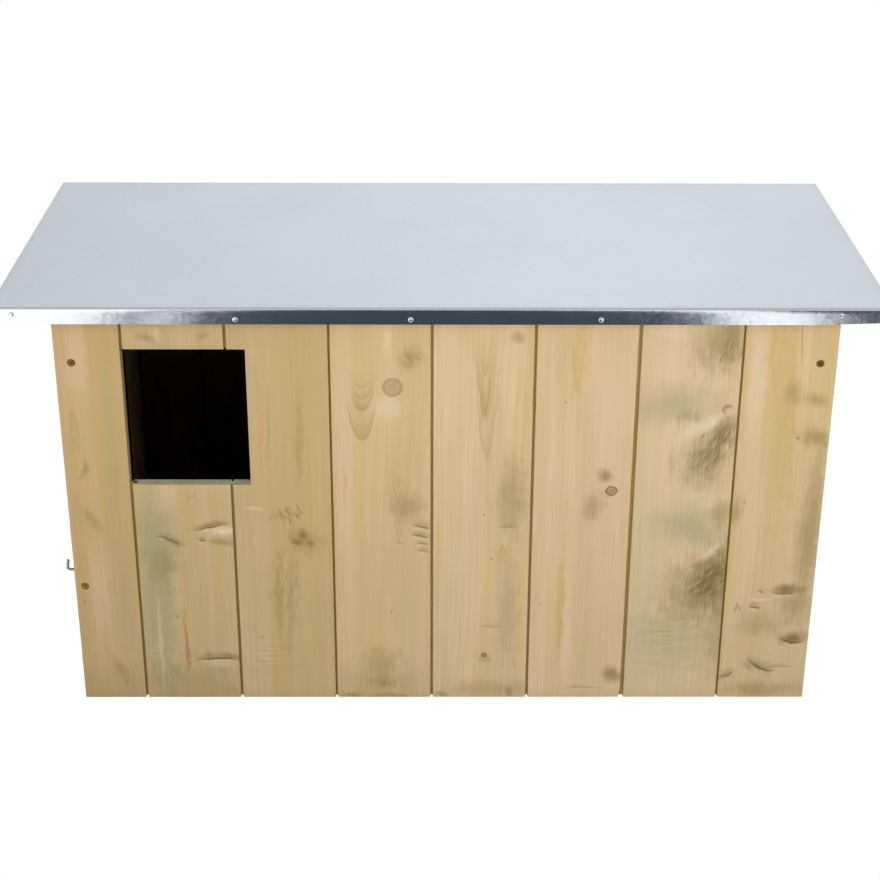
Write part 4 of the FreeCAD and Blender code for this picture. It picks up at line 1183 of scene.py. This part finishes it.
class Hinges(bpy.types.Operator):
    """Gives the hinge leaves and pins their plating"""

    bl_idname = "nest_box.hinges"
    bl_label = "Hinges"

    def execute(self, context):
        look = context.scene.nest_box_metal
        material = plated_steel("zinc plated hinge", look.zinc, 0.34, linear("a6a397"), 0.6)
        for node in ("hinge_leaves_post", "hinge_leaves_door", "hinge_pins"):
            dress(node, material)
        return {"FINISHED"}


class TurnHook(bpy.types.Operator):
    """Models the bent wire hook in the left side"""

    bl_idname = "nest_box.turn_hook"
    bl_label = "Turn hook"

    def execute(self, context):
        look = context.scene.nest_box_metal
        root = HOOK_FOOT + Vector((HOOK_EMBED, 0, 0))
        hook = start("wire_hook", bpy.ops.mesh.primitive_circle_add, vertices=20, radius=HOOK_WIRE,
                     fill_type="NGON", location=root, rotation=(0, math.radians(90), 0))
        bend_middle = HOOK_FOOT + Vector((HOOK_BEND - HOOK_REACH, 0, HOOK_BEND))
        sweep = math.radians(90) + HOOK_LEAN
        rise = math.radians(90) - HOOK_LEAN
        leg_way = Vector((math.cos(rise), 0, math.sin(rise)))
        arc_end = bend_middle + Vector((-math.sin(rise), 0, math.cos(rise))) * HOOK_BEND
        leg = leg_way * (HOOK_FOOT.z + HOOK_LEG - arc_end.z) / math.sin(rise)
        tip = arc_end + leg
        with editing(hook):
            bpy.ops.mesh.select_all(action="SELECT")
            extrude(bend_middle.x - root.x, 0, 0)
            bpy.ops.mesh.spin(steps=12, angle=-sweep, center=bend_middle, axis=(0, 1, 0))
            extrude(*leg)
            bpy.ops.mesh.select_all(action="SELECT")
            bpy.ops.mesh.remove_doubles(threshold=0.1 * NEAR)
            bpy.ops.mesh.normals_make_consistent(inside=False)
            pick("EDGE", lambda e: max((v.co - tip).length for v in e.verts) < HOOK_WIRE * 1.05)
            round_over(HOOK_TIP, 3)
        smooth(hook, 40)
        material = plated_steel("zinc plated wire", look.hook, 0.35, linear("6e675a"), 0.7)
        hand_over(hook, "hook", material, "turn_hook")
        return {"FINISHED"}


class Studio(bpy.types.Operator):
    """Sets the floor, the lights and the camera"""

    bl_idname = "nest_box.studio"
    bl_label = "Studio"

    def execute(self, context):
        scene = context.scene
        look = scene.nest_box_studio
        scene.view_settings.view_transform = "Standard"
        floor = start("studio_floor", bpy.ops.mesh.primitive_plane_add, size=FLOOR_SIZE,
                      location=(0, 0, FLOOR_TOP))
        white, add = blank_material("white studio floor")
        path = add("LightPath")
        bounced = add("Mix", path.outputs["Is Glossy Ray"], look.floor_bounce, look.floor_mirrored)
        glow = add("Mix", path.outputs["Is Camera Ray"], bounced, 1)
        add("OutputMaterial", add("Emission", look.floor, glow))
        floor.data.materials.append(white)

        # Cards on the floor that only the metal mirrors, and a flag that keeps light out of the entrance.
        black, add = blank_material("black studio card")
        add("OutputMaterial", add("BsdfPrincipled", linear("3c4a53"), Roughness=0.9))
        flag = Vector((0, FRONT_FACE + FLAG_DEEP, 0))
        for name, low, high, glossy in (
            ("dark_card_left", (-0.552, -3.5, 0.002), (-0.487, -0.6, 0.003), True),
            ("dark_card_middle", (-0.44, -3.5, 0.002), (0.3, -0.6, 0.003), True),
            ("dark_card_beside", (0.3, -1.9, 0.002), (0.468, -0.6, 0.003), True),
            ("dark_card_right", (0.65, -3.5, 0.002), (1.2, -0.6, 0.003), True),
            ("entrance_flag", ENTRANCE_LOW + flag + Vector((-FLAG_LAP, 0, 0)),
             ENTRANCE_HIGH + flag + Vector((0, FLAG_THICK, 0)), False),
        ):
            card = start_cube(name, low, high)
            card.data.materials.append(black)
            card.visible_camera = False
            card.visible_glossy = glossy
            card.visible_diffuse = not glossy
            card.visible_shadow = not glossy
            card.visible_transmission = False

        world = bpy.data.worlds.new("studio surround")
        world.use_nodes = True
        world.node_tree.nodes.clear()
        add = partial(add_node, world.node_tree)
        seen = add("LightPath").outputs["Is Camera Ray"]
        tint = add("Mix RGBA", seen, look.sky, look.floor)
        add("OutputWorld", add("Background", tint, add("Mix", seen, look.sky_strength, 1)))
        scene.world = world

        for name, place, aim, size, spread, power, glossy in (
            ("front_strip", (0.1, -0.95, 0.68), (0.1, -0.18, 0.42), (2.2, 0.35), 180, look.key_power, False),
            ("back_strip", (0, 1.2, 0.68), (0, 0.18, 0.36), (2, 0.35), 180, look.fill_power, False),
            ("left_strip", (-1.4, 0.25, 0.68), (-0.42, 0.1, 0.3), (0.8, 0.35), 180, look.fill_power, False),
            ("right_strip", (1.4, 0.25, 0.68), (0.42, 0.1, 0.3), (0.8, 0.35), 180, look.fill_power, False),
            ("back_panel", (0.2, 4.2, 2.45), (-0.25, 0, 0.5), (5, 3), 65, look.back_power, True),
        ):
            data = bpy.data.lights.new(name, "AREA")
            data.shape = "RECTANGLE"
            data.size, data.size_y = size
            data.spread = math.radians(spread)
            data.energy = power
            lamp = bpy.data.objects.new(name, data)
            scene.collection.objects.link(lamp)
            lamp.location = place
            lamp.rotation_euler = (Vector(aim) - Vector(place)).to_track_quat("-Z", "Y").to_euler()
            lamp.visible_camera = False
            lamp.visible_glossy = glossy

        data = bpy.data.cameras.new("camera")
        data.lens = look.lens
        data.sensor_width = CAMERA_SENSOR
        camera = bpy.data.objects.new("camera", data)
        scene.collection.objects.link(camera)
        camera.matrix_world = (
            Matrix.Translation(CAMERA_PLACE) @ Matrix.Rotation(CAMERA_YAW, 4, "Z")
            @ Matrix.Rotation(math.radians(90) - CAMERA_PITCH, 4, "X") @ Matrix.Rotation(CAMERA_ROLL, 4, "Z")
        )
        scene.camera = camera
        return {"FINISHED"}


OPERATORS = (FrontBoards, OtherWalls, Framing, RoofSheet, RoofNails, Screws, Hinges, TurnHook, Studio)


class NestBoxPanel(bpy.types.Panel):
    """Lists the steps that finish the nest box"""

    bl_idname = "VIEW3D_PT_nest_box"
    bl_label = "Nest box"
    bl_space_type = "VIEW_3D"
    bl_region_type = "UI"
    bl_category = "Nest box"

    def draw(self, context):
        for operator in OPERATORS:
            self.layout.operator(operator.bl_idname)


GROUPS = (
    ("nest_box_wood", NestBoxWood),
    ("nest_box_metal", NestBoxMetal),
    ("nest_box_studio", NestBoxStudio),
)


def register():
    for name, group in GROUPS:
        bpy.utils.register_class(group)
        setattr(bpy.types.Scene, name, PointerProperty(type=group))
    for operator in OPERATORS:
        bpy.utils.register_class(operator)
    bpy.utils.register_class(NestBoxPanel)


def unregister():
    bpy.utils.unregister_class(NestBoxPanel)
    for operator in reversed(OPERATORS):
        bpy.utils.unregister_class(operator)
    for name, group in reversed(GROUPS):
        delattr(bpy.types.Scene, name)
        bpy.utils.unregister_class(group)


def main():
    register()
    for operator in OPERATORS:
        folder, name = operator.bl_idname.split(".")
        getattr(getattr(bpy.ops, folder), name)()


if __name__ == "__main__":
    main()
